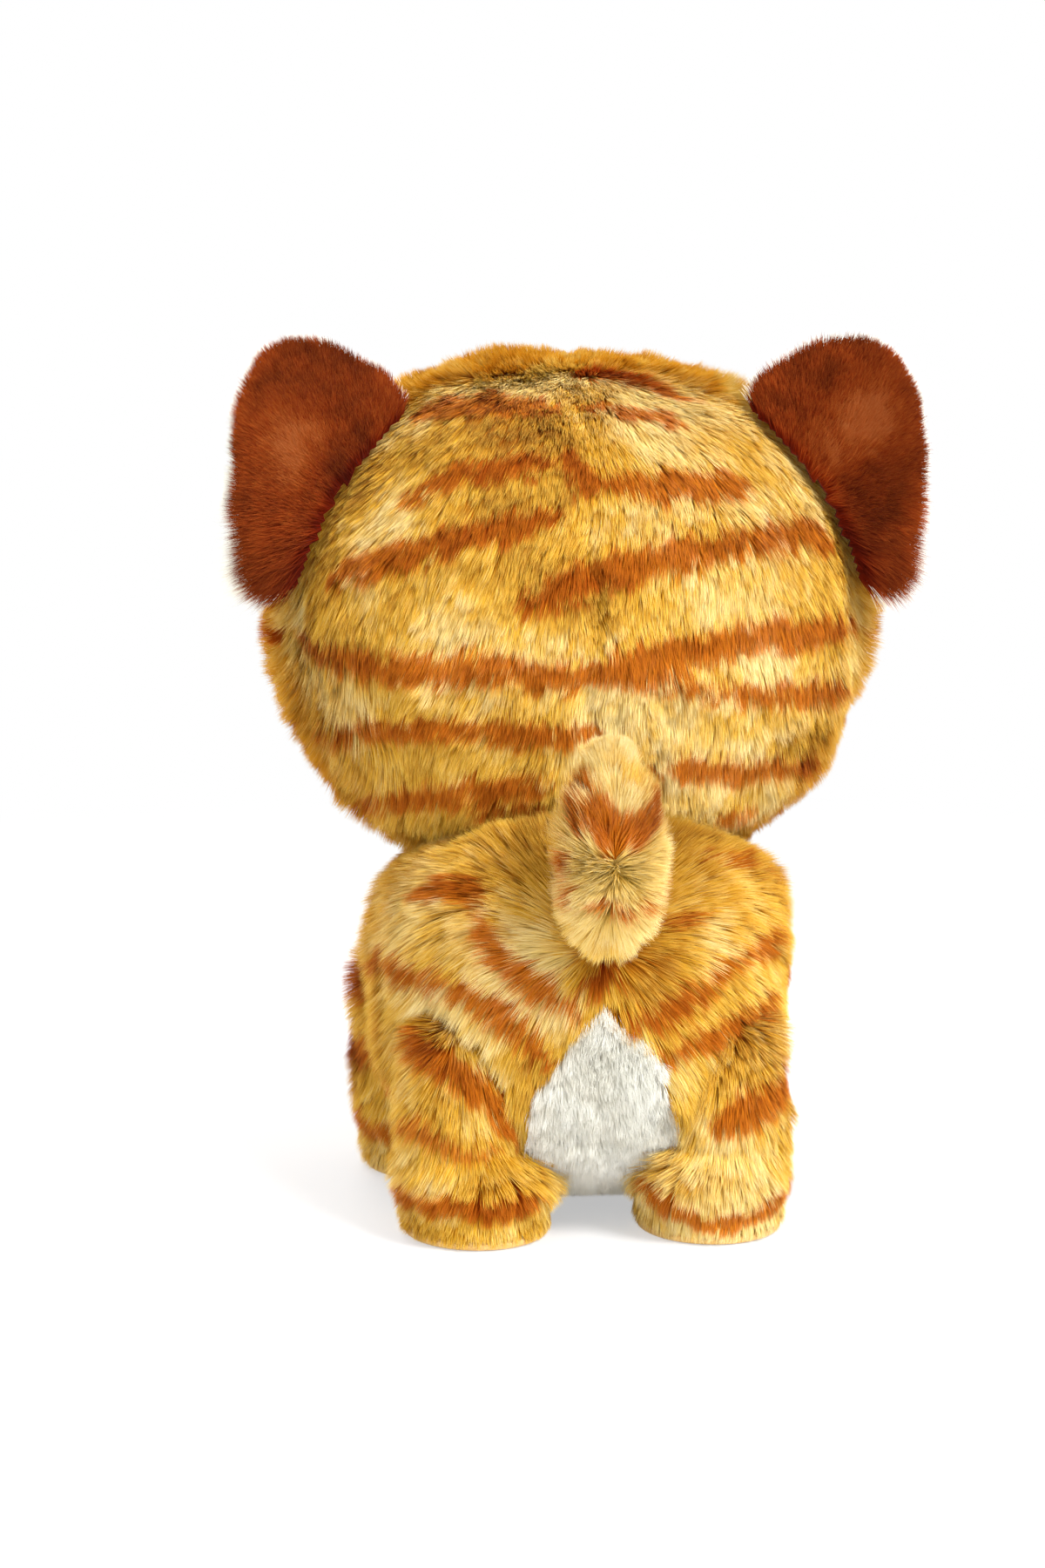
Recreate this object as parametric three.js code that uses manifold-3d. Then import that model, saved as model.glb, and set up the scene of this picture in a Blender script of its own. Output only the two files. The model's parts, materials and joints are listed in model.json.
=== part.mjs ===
// A plush tabby cat that stands on four short legs, as an assembly of sewn skins, stuffing and small fittings.
// Millimetres, +Z up. The cat faces -Y and its own left is +X. The origin is on the ground under the middle.
import * as THREE from 'three';
import { mergeVertices } from 'three/addons/utils/BufferGeometryUtils.js';
import Module from 'manifold-3d';

const wasm = await Module();
wasm.setup();

// Fabric and fits
const skin = 3; // plush fabric, with its backing
const seam = 0.3; // between pieces that are sewn or pressed together
const runningGap = 0.8; // round a stuffed joint that flexes

// Head
const headHalf = { x: 70.5, y: 57, z: 59 };
const headSquareness = { plan: 2.1, upper: 2.15, lower: 2.75 };
const headForward = 20; // head's middle in front of the torso's middle
const headNod = 6; // degrees each way
const headTurn = 12; // degrees each way
const sideSeamBehind = 20; // side seam behind the head's middle
const neckDepth = 3; // neck's pivot above the head's underside
const neckRadius = 16;

// Torso
const torsoHalf = { x: 48, y: 51.5, z: 46 };
const torsoSquareness = { plan: 2.5, upper: 2.7, lower: 2.5 };
const torsoTaper = 2; // wider than that in front, and narrower behind
const bellyHeight = 4; // belly above the ground
const headSink = 21; // head's underside below the torso's uncut top
const bellyPanel = { halfWidth: 17, halfHeight: 34, middle: 22 }; // the pale gusset, seen from behind

// Legs
const rearLeg = {
  hip: { x: 28, y: 29, z: 40, radius: 17.5 },
  calf: { x: 29.5, y: 29, z: 24, halfX: 15.2, halfY: 16.5 },
  foot: { x: 26, y: 28, halfX: 19, halfY: 22.5, height: 11 },
};
const frontLeg = {
  hip: { x: 32, y: -32, z: 41, radius: 20 },
  calf: { x: 33, y: -33, z: 24, halfX: 17, halfY: 17 },
  foot: { x: 30.5, y: -36, halfX: 18.8, halfY: 22, height: 11 },
};
const footEdge = 5; // rounding under the foot
const soleThickness = 2.4;
const legCollar = 12; // sleeve's top above the hip's middle
const legSwing = 8; // degrees each way
const pelletBag = { halfX: 10, halfY: 12, height: 8 };

// Tail
const tailRoot = { sink: 6, z: 72, radius: 10.5 }; // sink is how far its pivot lies inside the rump
const tailReach = 26; // from the pivot back to the bend's middle line
const tailRise = 34; // from the pivot up to the tip's middle
const tailWidest = 13.3;
const tailTip = 10.5;
const tailWag = 15; // degrees each way

// Ears
const earThickness = 3.4; // each of the two layers
const earBase = { top: [38, 17, 49], low: [65, 20, 3.5] }; // directions from the head's middle
const earLean = [0.9, -0.05, 0.42]; // the way that the ear stands out
const earCup = 5; // how far the middle of the ear bows backwards
const earFold = { back: 12, forward: 28 }; // degrees
const earHingeOut = 1.5; // hinge line outside the head's surface
const earBaseLength = 55; // along the outline's base
const earOutline = [ // along the base, and out from it
  [0, 0], [-2, 13], [0.5, 25], [7.5, 32.5], [17, 33], [28, 29], [38, 22], [47, 13], [54, 1], [42, -8], [27, -10], [12, -7],
];

// Face
const eye = { radius: 9.5, dome: 4.6, stem: 2, stemLength: 8, across: 25, down: 6 };
const washer = { radius: 6.5, thickness: 1.6 };
const muzzleHalf = { x: 20, y: 15, z: 13.5 };
const muzzleDown = 18;
const muzzleOut = 10.5; // how far it stands out of the face
const noseHalf = { x: 6, y: 4, z: 4.3 };
const noseUp = 6.5; // above the muzzle's middle
const mouth = { thread: 1.4, drop: 6, halfWidth: 8 };

// Fineness of the faceted shapes: points round them, and steps from end to end
const fine = [24, 14];
const plain = [16, 10];
const limbAround = 12;

// Places that follow from the sizes above
const torsoMiddle = new THREE.Vector3(0, 0, bellyHeight + torsoHalf.z);
const headBottom = torsoMiddle.z + torsoHalf.z - headSink;
const headMiddle = new THREE.Vector3(0, -headForward, headBottom + headHalf.z);
const neckPivot = new THREE.Vector3(0, -headForward, headBottom + neckDepth);
const soleTop = soleThickness + seam;
const far = 400; // reaches past the whole toy

const rad = THREE.MathUtils.degToRad;
const { lerp, clamp } = THREE.MathUtils;
const smooth = (t) => THREE.MathUtils.smoothstep(t, 0, 1);
const upwards = new THREE.Vector3(0, 0, 1);

/** How much a faceted round is grown so that its flats, not its corners, lie at its radius. */
const flatsOut = (around) => 1 / Math.cos(Math.PI / around);

/** A closed solid from a three.js geometry, with its faces pointing out. */
function solidOf(geometry) {
  const bare = new THREE.BufferGeometry();
  bare.setAttribute('position', geometry.getAttribute('position').clone());
  bare.setIndex(geometry.index ? geometry.index.clone() : null);
  const merged = mergeVertices(bare, 1e-3);
  const faces = [];
  for (let i = 0; i < merged.index.count; i += 3) {
    const [a, b, c] = [0, 1, 2].map((k) => merged.index.getX(i + k));
    if (a !== b && b !== c && a !== c) faces.push(a, b, c);
  }
  const make = (triVerts) => new wasm.Manifold(new wasm.Mesh({
    numProp: 3,
    vertProperties: new Float32Array(merged.attributes.position.array),
    triVerts,
  }));
  const made = make(new Uint32Array(faces));
  return made.volume() > 0 ? made : make(new Uint32Array(faces).reverse());
}

/** The geometry of a solid, for its mesh. */
function geometryOf(solid) {
  const mesh = solid.getMesh();
  const points = new Float32Array(mesh.numVert * 3);
  for (let i = 0; i < mesh.numVert; i++) {
    points.set(mesh.vertProperties.subarray(i * mesh.numProp, i * mesh.numProp + 3), i * 3);
  }
  const geometry = new THREE.BufferGeometry();
  geometry.setAttribute('position', new THREE.BufferAttribute(points, 3));
  geometry.setIndex(new THREE.BufferAttribute(new Uint32Array(mesh.triVerts), 1));
  geometry.computeVertexNormals();
  return geometry;
}

/** Moves each point of a geometry to where place says. */
function reshaped(geometry, place) {
  const points = geometry.getAttribute('position');
  for (let i = 0; i < points.count; i++) {
    const moved = place(new THREE.Vector3().fromBufferAttribute(points, i));
    points.setXYZ(i, moved.x, moved.y, moved.z);
  }
  return geometry;
}

/** A solid through rows: place puts each row's ring, from x and y on a unit circle. End rows are a point. */
function lofted(rows, around, place) {
  const profile = rows.map((row, i) => new THREE.Vector2(row.end ? 0 : 1, i));
  const rings = new THREE.LatheGeometry(profile, around).rotateX(Math.PI / 2);
  return solidOf(reshaped(rings, (p) => place(rows[Math.round(p.z)], p.x, p.y)));
}

/** A solid turned about a direction through a point, from [radius, height] pairs. */
function turned(profile, around, point, direction) {
  const geometry = new THREE.LatheGeometry(profile.map(([r, z]) => new THREE.Vector2(r, z)), around);
  const turn = new THREE.Quaternion().setFromUnitVectors(upwards, direction);
  return solidOf(geometry.rotateX(Math.PI / 2).applyQuaternion(turn).translate(point.x, point.y, point.z));
}

/** A rod along a direction, from start to end as measured from a point. */
function rod(point, direction, radius, start, end, around = 12) {
  return turned([[0, start], [radius, start], [radius, end], [0, end]], around, point, direction);
}

/** A ball. */
function ball(centre, radius) {
  return solidOf(new THREE.SphereGeometry(radius, ...plain).rotateX(Math.PI / 2).translate(...centre.toArray()));
}

/** A box between two corners. */
function block(low, high) {
  const box = new THREE.BoxGeometry(high[0] - low[0], high[1] - low[1], high[2] - low[2]);
  return solidOf(box.translate(...low.map((v, i) => (v + high[i]) / 2)));
}

const joined = (solids) => solids.reduce((all, one) => all.add(one));
const mirrored = (solid) => solidOf(geometryOf(solid).scale(-1, 1, 1));

/** A stuffed form about a middle: a superellipse in plan, wider in front by taper, and another above and below. */
class StuffedForm {
  constructor(middle, half, squareness, taper = 0) {
    Object.assign(this, { middle, half, squareness, taper });
  }

  /** The surface point along a direction from the middle, with the form drawn in by inset. */
  at(direction, inset = 0) {
    const { plan, upper, lower } = this.squareness;
    const unit = direction.clone().normalize();
    const flat = (Math.abs(unit.x / (this.half.x - inset)) ** plan
      + Math.abs(unit.y / (this.half.y - inset)) ** plan) ** (1 / plan);
    const power = unit.z < 0 ? lower : upper;
    const reach = (flat ** power + Math.abs(unit.z / (this.half.z - inset)) ** power) ** (-1 / power);
    const out = unit.multiplyScalar(reach);
    out.x *= 1 - (this.taper / this.half.x) * (out.y / this.half.y);
    return this.middle.clone().add(out);
  }

  /** The outward normal at the surface point along a direction. */
  normal(direction) {
    const step = 1e-3;
    const unit = direction.clone().normalize();
    const sideways = new THREE.Vector3(-unit.y, unit.x, 0).normalize();
    const above = unit.clone().cross(sideways);
    const edge = (way) => this.at(unit.clone().addScaledVector(way, step)).sub(this.at(unit));
    const normal = edge(sideways).cross(edge(above)).normalize();
    return normal.dot(unit) < 0 ? normal.negate() : normal;
  }

  /** Its geometry, drawn in by inset. */
  geometry(inset, [around, steps]) {
    const sphere = new THREE.SphereGeometry(1, around, steps).rotateX(Math.PI / 2);
    return reshaped(sphere, (p) => this.at(p, inset));
  }

  /** Its solid, drawn in by inset. */
  solid(inset, fineness) {
    return solidOf(this.geometry(inset, fineness));
  }

  /** The geometry of a room round it, whose flats clear it by what gap says of each surface point. */
  room(gap, [around, steps]) {
    const grown = flatsOut(around) * flatsOut(steps * 2);
    return reshaped(this.geometry(0, [around, steps]), (p) => {
      const out = p.clone().sub(this.middle);
      return this.middle.clone().addScaledVector(out, grown * (1 + gap(p) / out.length()));
    });
  }
}

const head = new StuffedForm(headMiddle, headHalf, headSquareness);
const torso = new StuffedForm(torsoMiddle, torsoHalf, torsoSquareness, torsoTaper);

/** A leg's section at a height, drawn in by inset: its middle and half widths. */
function legRing({ hip, calf, foot }, z, inset = 0) {
  if (z > hip.z) {
    const half = Math.sqrt(Math.max((hip.radius - inset) ** 2 - (z - hip.z) ** 2, 0));
    return { x: hip.x, y: hip.y, halfX: half, halfY: half, z };
  }
  const [low, high, share] = z < calf.z
    ? [foot, calf, smooth((z - foot.height) / (calf.z - foot.height))]
    : [calf, { ...hip, halfX: hip.radius, halfY: hip.radius }, smooth((z - calf.z) / (hip.z - calf.z))];
  const mix = (key) => lerp(low[key], high[key], share);
  const edge = clamp(1 - z / footEdge, 0, 1);
  const drawnIn = inset + footEdge * (1 - Math.sqrt(1 - edge * edge));
  return { x: mix('x'), y: mix('y'), halfX: mix('halfX') - drawnIn, halfY: mix('halfY') - drawnIn, z };
}

/** A solid through a leg's rows, on the cat's left, or with a side of -1 its right. */
function legSolid(rows, side = 1) {
  return lofted(rows, limbAround, (row, x, y) => new THREE.Vector3(
    side * (row.x + (row.end ? 0 : x * row.halfX)), row.y + (row.end ? 0 : y * row.halfY), row.z,
  ));
}

/** The heights of a leg's rings, from over its sole to its collar. */
function legHeights({ hip, calf, foot }) {
  const foreleg = [footEdge, foot.height, lerp(foot.height, calf.z, 0.5), calf.z, lerp(calf.z, hip.z, 0.5)];
  return [soleTop, ...foreleg, hip.z, hip.z + legCollar / 2, hip.z + legCollar];
}

/** A leg's fabric, open at the sole and at the hip. */
function legSleeve(leg) {
  const outer = legHeights(leg).map((z) => legRing(leg, z));
  const inner = legHeights(leg).map((z) => legRing(leg, z, skin)).reverse();
  return legSolid([...outer, ...inner, outer[0]]);
}

/** A leg's flat sole. */
function legSole(leg) {
  const rings = [0, soleThickness / 2, soleThickness].map((z) => legRing(leg, z));
  return legSolid([{ ...rings[0], end: true }, ...rings, { ...rings.at(-1), end: true }]);
}

/** One ring of the pellet bag in a leg's foot, or of the pocket that it lies in. */
function bagRing({ foot }, z, inset) {
  return { x: foot.x, y: foot.y, halfX: pelletBag.halfX - inset, halfY: pelletBag.halfY - inset, z };
}

/** A leg's stuffing: a ball in the hip, and a pocket for the pellets over the sole. */
function legStuffing(leg) {
  const inset = skin + seam;
  const pocketTop = soleTop + pelletBag.height + 2 * seam;
  const pocket = [pocketTop, soleTop].map((z) => bagRing(leg, z, -seam));
  const rings = legHeights(leg).map((z) => legRing(leg, z, inset));
  const top = leg.hip.z + leg.hip.radius - inset;
  const dome = legRing(leg, lerp(leg.hip.z + legCollar, top, 0.6), inset);
  return legSolid([{ ...pocket[0], end: true }, ...pocket, ...rings, dome, { ...dome, z: top, end: true }]);
}

/** The pellet bag in a leg's foot. */
function pellets(leg) {
  const low = soleTop + seam;
  const slack = pelletBag.halfX / 4;
  const rings = [[0, slack], [0.5, 0], [1, slack]].map(
    ([share, inset]) => bagRing(leg, low + share * pelletBag.height, inset),
  );
  return legSolid([{ ...rings[0], end: true }, ...rings, { ...rings[2], end: true }]);
}

/** The room in the torso that a leg swings in. An oval that moves back and forth needs a little more width too. */
function legWell(leg, side) {
  const { hip, calf, foot } = leg;
  const sway = Math.sin(rad(legSwing));
  const lift = (foot.halfY + footEdge) * sway + runningGap;
  const ring = (z) => {
    const near = [-lift, 0, lift].map((step) => legRing(leg, clamp(z + step, footEdge, hip.z)));
    const span = (key, half, extra) => {
      const low = Math.min(...near.map((one) => one[key] - one[half])) - extra;
      const high = Math.max(...near.map((one) => one[key] + one[half])) + extra;
      return [(low + high) / 2, (high - low) / 2];
    };
    const [x, halfX] = span('x', 'halfX', runningGap + (hip.z - z) * sway / 5);
    const [y, halfY] = span('y', 'halfY', runningGap + (hip.z - z + 2 * lift) * sway);
    return { x, y, halfX, halfY, z };
  };
  const [heel, shin] = [foot.height + lift, calf.z + lift];
  const shank = [0, 0.33, 0.67, 1].map((share) => lerp(heel, shin, share));
  const rings = [-footEdge, ...shank, lerp(shin, hip.z, 0.6)].map(ring);
  const radius = hip.radius + runningGap;
  const dome = [0, 17, 34, 54].map((degrees) => {
    const half = radius * Math.cos(rad(degrees));
    return { x: hip.x, y: hip.y, halfX: half, halfY: half, z: hip.z + radius * Math.sin(rad(degrees)) };
  });
  const top = { ...dome.at(-1), z: hip.z + radius, end: true };
  return legSolid([{ ...rings[0], end: true }, ...rings, ...dome, top], side);
}

const tailPivot = torso.at(new THREE.Vector3(0, torsoHalf.y, tailRoot.z - torsoMiddle.z));
tailPivot.y -= tailRoot.sink;
const tailLine = new THREE.CatmullRomCurve3([
  [0, 0], [0.42, 0.04], [0.8, 0.26], [0.97, 0.6], [0.92, 1],
].map(([back, up]) => tailPivot.clone().add(new THREE.Vector3(0, back * tailReach, up * tailRise))));

/** The tail's rings along its line from its root to its tip, drawn in by inset. */
function tailRings(inset) {
  const length = tailLine.getLength();
  const [root, widest, tip] = [tailRoot.radius, tailWidest, tailTip].map((radius) => radius - inset);
  const body = [0, 0.18, 0.36, 0.54, 0.72, 0.88].map((share) => ({
    at: share * length,
    radius: share < 0.5 ? lerp(root, widest, smooth(share * 2)) : lerp(widest, tip, smooth(share * 2 - 1)),
  }));
  const blunt = [8, 38, 66].map((degrees) => ({
    at: length + tip * Math.sin(rad(degrees)), radius: tip * Math.cos(rad(degrees)),
  }));
  return [...body, ...blunt, { at: length + tip, end: true }];
}

/** A solid through rings along the tail's line. */
function tailSolid(rows) {
  const length = tailLine.getLength();
  return lofted(rows, limbAround, (row, x, y) => {
    const share = clamp(row.at / length, 0, 1);
    const forward = tailLine.getTangentAt(share);
    const above = new THREE.Vector3(1, 0, 0).cross(forward);
    const point = tailLine.getPointAt(share).addScaledVector(forward, row.at - share * length);
    if (row.end) return point;
    return point.add(new THREE.Vector3(x * row.radius, 0, 0)).addScaledVector(above, y * row.radius);
  });
}

/** The tail's fabric, open at its root. */
function tailSleeve() {
  const outer = tailRings(0);
  return tailSolid([...outer, ...tailRings(skin).reverse(), outer[0]]);
}

/** The tail's stuffing, with a ball at its root. */
function tailStuffing() {
  const root = tailRoot.radius - skin - seam;
  const ballRings = [58, 28].map((degrees) => ({
    at: -root * Math.sin(rad(degrees)), radius: root * Math.cos(rad(degrees)),
  }));
  return tailSolid([{ at: -root, end: true }, ...ballRings, ...tailRings(skin + seam)]);
}

/** The room in the torso that the tail wags in: it opens backwards. */
function tailWell() {
  const radius = tailRoot.radius + runningGap;
  const flare = tailWidest - tailRoot.radius + runningGap + tailReach * Math.sin(rad(tailWag));
  const rings = [58, 28, 0].map((degrees) => ({
    at: -radius * Math.sin(rad(degrees)), radius: radius * Math.cos(rad(degrees)),
  }));
  const rows = [{ at: -radius, end: true }, ...rings, { at: tailReach, radius: radius + flare }];
  return lofted([...rows, { at: tailReach, end: true }], limbAround, (row, x, y) => {
    const size = row.end ? 0 : row.radius;
    return tailPivot.clone().add(new THREE.Vector3(x * size, row.at, y * size));
  });
}

/** The ear's own frame: along its base from top to bottom, out from the head, and backwards. */
const ear = (() => {
  const [top, low] = [earBase.top, earBase.low].map((way) => head.at(new THREE.Vector3(...way)));
  const down = low.clone().sub(top);
  const length = down.length();
  down.normalize();
  const out = new THREE.Vector3(...earLean);
  out.addScaledVector(down, -out.dot(down)).normalize();
  const back = down.clone().cross(out).normalize();
  if (back.y < 0) back.negate();
  return { top, length, down, out, back, hinge: top.clone().addScaledVector(out, earHingeOut) };
})();

const earEdge = new THREE.CatmullRomCurve3(
  earOutline.map(([s, h]) => new THREE.Vector3(s, h, 0)), true, 'catmullrom', 0.6,
);
const earCentre = new THREE.Vector3(earBaseLength * 0.43, 13, 0);

/** One layer of the left ear: the back one with a side of 1, and the front one with -1. */
function earLayer(side) {
  // How far out to the edge, and how much of the thickness
  const rows = [[0, 1], [0.5, 0.94], [0.82, 0.68], [0.95, 0.36], [1, 0], [0, 0]].map(
    ([share, height]) => ({ share, height, end: share === 0 }),
  );
  const scale = ear.length / earBaseLength;
  return lofted(rows, 20, (row, x, y) => {
    const turn = (Math.atan2(y, x) / (2 * Math.PI) + 1) % 1;
    const spot = row.end ? earCentre.clone() : earCentre.clone().lerp(earEdge.getPoint(turn), row.share);
    spot.multiplyScalar(scale);
    const bow = earCup * (1 - (2 * spot.x / ear.length - 1) ** 2);
    return ear.top.clone().addScaledVector(ear.down, spot.x).addScaledVector(ear.out, spot.y)
      .addScaledVector(ear.back, bow + side * (seam / 2 + row.height * earThickness));
  });
}

/** The head as the ear meets it while it folds, so that the ear is cut clear of it. */
function headRoundEar() {
  const around = head.solid(-seam, fine);
  const { x, y, z } = ear.hinge;
  return joined([-earFold.back, 0, earFold.forward / 2, earFold.forward].map((degrees) => {
    const turn = new THREE.Matrix4().makeRotationAxis(ear.down, rad(-degrees));
    return around.translate([-x, -y, -z]).transform(turn.elements).translate([x, y, z]);
  }));
}

const eyeDirection = new THREE.Vector3(eye.across, -headHalf.y * 0.88, -eye.down);
const eyePoint = head.at(eyeDirection);
const eyeNormal = head.normal(eyeDirection);
const washerFront = -skin - seam - washer.radius ** 2 / (2 * headHalf.y);

/** The left eye: a domed cap on the face, with a stem that goes in through the fabric. */
function eyeSolid() {
  const dome = [10, 35, 60].map((degrees) => [
    eye.radius * Math.cos(rad(degrees)), seam + eye.dome * Math.sin(rad(degrees)),
  ]);
  const stem = [[0, -eye.stemLength], [eye.stem, -eye.stemLength], [eye.stem, seam]];
  return turned([...stem, [eye.radius, seam], ...dome, [0, seam + eye.dome]], 18, eyePoint, eyeNormal);
}

/** The washer that holds the left eye from inside the head. */
function washerSolid() {
  const [hole, back] = [eye.stem + seam, washerFront - washer.thickness];
  const profile = [[hole, back], [washer.radius, back], [washer.radius, washerFront], [hole, washerFront], [hole, back]];
  return turned(profile, 16, eyePoint, eyeNormal);
}

const muzzle = (() => {
  const face = head.at(new THREE.Vector3(0, -headHalf.y, -muzzleDown));
  const middle = new THREE.Vector3(0, face.y - muzzleOut + muzzleHalf.y, headMiddle.z - muzzleDown);
  return new StuffedForm(middle, muzzleHalf, { plan: 2.3, upper: 2.2, lower: 2.2 });
})();
const noseMiddle = muzzle.at(new THREE.Vector3(0, -muzzleHalf.y, noseUp));
const nose = new StuffedForm(noseMiddle, noseHalf, { plan: 2, upper: 3, lower: 1.7 });

/** The stitched mouth: a thread down from the nose, and one that curves out to each side. */
function mouthSolid() {
  const onMuzzle = (x, down) => {
    const direction = new THREE.Vector3(x, -muzzleHalf.y, noseUp - noseHalf.z - down);
    return muzzle.at(direction).addScaledVector(muzzle.normal(direction), mouth.thread / 2 + seam);
  };
  const round = new THREE.Shape().absarc(0, 0, mouth.thread / 2, 0, 2 * Math.PI);
  const thread = (points, steps) => solidOf(new THREE.ExtrudeGeometry(round, {
    steps, curveSegments: 3, extrudePath: new THREE.CatmullRomCurve3(points),
  }));
  const smile = [-1, -0.7, -0.35, 0, 0.35, 0.7, 1].map((share) => onMuzzle(
    share * mouth.halfWidth, mouth.drop * (1 + 0.5 * Math.sin(Math.abs(share) * Math.PI) - 0.35 * Math.abs(share)),
  ));
  const drop = [0.15, 0.6, 1.08].map((share) => onMuzzle(0, mouth.drop * share));
  return thread(smile, 10).add(thread(drop, 3));
}

const fabric = (color) => new THREE.MeshStandardMaterial({ color, roughness: 0.95, metalness: 0 });
const materials = {
  tabby: fabric(0xdca046),
  brown: fabric(0x7c3c17),
  white: fabric(0xf2efe8),
  filling: fabric(0xf4f4f1),
  pellets: fabric(0xd8d4c8),
  eye: new THREE.MeshStandardMaterial({ color: 0x3a2412, roughness: 0.12, metalness: 0 }),
  washer: new THREE.MeshStandardMaterial({ color: 0xe6e6e2, roughness: 0.5, metalness: 0 }),
  nose: new THREE.MeshStandardMaterial({ color: 0xb56a5c, roughness: 0.45, metalness: 0 }),
  thread: new THREE.MeshStandardMaterial({ color: 0x5a2d14, roughness: 0.8, metalness: 0 }),
};
const cat = new THREE.Group();

/** Adds a solid as a named mesh. */
function add(name, solid, material) {
  const mesh = new THREE.Mesh(geometryOf(solid), material);
  mesh.name = name;
  cat.add(mesh);
  return mesh;
}

/** Adds a left solid, and its mirrored right one. The name holds SIDE. */
function addPair(name, solid, material) {
  add(name.replace('SIDE', 'left'), solid, material);
  add(name.replace('SIDE', 'right'), solid, material).scale.x = -1;
}

/** Adds the left and right parts of a shell, with the seam down the middle between them. */
function addHalves(name, shell, material) {
  for (const [side, low, high] of [['left', seam / 2, far], ['right', -far, -seam / 2]]) {
    add(name.replace('SIDE', side), shell.intersect(block([low, -far, -far], [high, far, far])), material);
  }
}

/** An upright oval post that runs through the torso from front to back: it marks out the belly panel. */
function bellyPost(grow) {
  const rows = [-far, far].map((y) => ({ y }));
  const rowsWithEnds = [{ ...rows[0], end: true }, ...rows, { ...rows[1], end: true }];
  return lofted(rowsWithEnds, fine[0], (row, x, z) => new THREE.Vector3(
    row.end ? 0 : x * (bellyPanel.halfWidth + grow),
    row.y,
    bellyPanel.middle + (row.end ? 0 : z * (bellyPanel.halfHeight + grow)),
  ));
}

function buildTorso() {
  // The head's underside drops as it nods, and a little as its oval turns
  const flexRoom = (p) => runningGap + Math.hypot(p.y - neckPivot.y, p.z - neckPivot.z) * Math.sin(rad(headNod))
    + Math.abs(headHalf.x - headHalf.y) * Math.sin(rad(headTurn)) / 2;
  const wells = [rearLeg, frontLeg].flatMap((leg) => [1, -1].map((side) => legWell(leg, side)));
  const neckRoom = ball(neckPivot, neckRadius + runningGap);
  const cuts = joined([...wells, solidOf(head.room(flexRoom, plain)), neckRoom, tailWell()]);
  const shell = torso.solid(0, fine).subtract(torso.solid(skin, plain)).subtract(cuts);
  add('torso_stuffing', torso.solid(skin + seam, plain).subtract(cuts), materials.filling);
  addHalves('torso_SIDE_panel', shell.subtract(bellyPost(seam)), materials.tabby);
  add('belly_panel', shell.intersect(bellyPost(0)), materials.white);
}

function buildLegs() {
  for (const [name, leg] of [['rear', rearLeg], ['front', frontLeg]]) {
    addPair(`${name}_leg_SIDE_sleeve`, legSleeve(leg), materials.tabby);
    addPair(`${name}_leg_SIDE_sole`, legSole(leg), materials.tabby);
    addPair(`${name}_leg_SIDE_stuffing`, legStuffing(leg), materials.filling);
    addPair(`${name}_leg_SIDE_pellet_bag`, pellets(leg), materials.pellets);
  }
}

function buildHead() {
  const neckRoom = ball(neckPivot, neckRadius + runningGap);
  const shell = head.solid(0, fine).subtract(head.solid(skin, plain)).subtract(neckRoom);
  const seamLine = headMiddle.y + sideSeamBehind;
  const back = block([-far, seamLine + seam / 2, -far], [far, far, far]);
  const front = block([-far, -far, -far], [far, seamLine - seam / 2, far]);
  const eyeHole = rod(eyePoint, eyeNormal, eye.stem + seam, -eye.stemLength, eye.dome);
  const washerRoom = rod(eyePoint, eyeNormal, washer.radius + seam, -eye.stemLength - seam, washerFront + seam, 16);
  const eyeRooms = joined([eyeHole, washerRoom, mirrored(eyeHole), mirrored(washerRoom)]);
  addHalves('head_back_SIDE_panel', shell.intersect(back), materials.tabby);
  addHalves('face_SIDE_panel', shell.intersect(front).subtract(eyeRooms), materials.tabby);
  add('head_stuffing', head.solid(skin + seam, plain).subtract(neckRoom).subtract(eyeRooms), materials.filling);
  add('neck_stuffing', ball(neckPivot, neckRadius), materials.filling);
  addPair('eye_SIDE', eyeSolid(), materials.eye);
  addPair('eye_SIDE_washer', washerSolid(), materials.washer);
  const headRoom = head.solid(-seam, fine);
  const muzzleRoom = muzzle.solid(-seam, plain);
  add('muzzle', muzzle.solid(0, plain).subtract(headRoom), materials.white);
  add('nose', nose.solid(0, [12, 8]).subtract(muzzleRoom).subtract(headRoom), materials.nose);
  add('mouth_stitch', mouthSolid().subtract(nose.solid(-seam, [12, 8])), materials.thread);
}

function buildEars() {
  const headRoom = headRoundEar();
  addPair('ear_SIDE_back', earLayer(1).subtract(headRoom), materials.brown);
  addPair('ear_SIDE_lining', earLayer(-1).subtract(headRoom), materials.white);
}

function buildTail() {
  add('tail_sleeve', tailSleeve(), materials.tabby);
  add('tail_stuffing', tailStuffing(), materials.filling);
}

buildTorso();
buildLegs();
buildHead();
buildEars();
buildTail();

// The origin is set under the middle of the whole toy's length
const whole = new THREE.Box3().setFromObject(cat);
cat.position.y = -(whole.min.y + whole.max.y) / 2;

export default cat;
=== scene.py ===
"""The looks of a plush tabby cat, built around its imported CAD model.

A furred piece is a closed sheet of fabric. Its outer side is divided into small cells, and on each of them
stand tapering strands of pile that lean along the nap. Lengths are in metres unless a name says otherwise.
"""

import itertools
import json
import logging
import math
from dataclasses import dataclass, field, replace
from enum import Enum
from typing import Callable, Sequence

import bmesh
import bpy
import numpy as np
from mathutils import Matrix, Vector, kdtree

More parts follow.
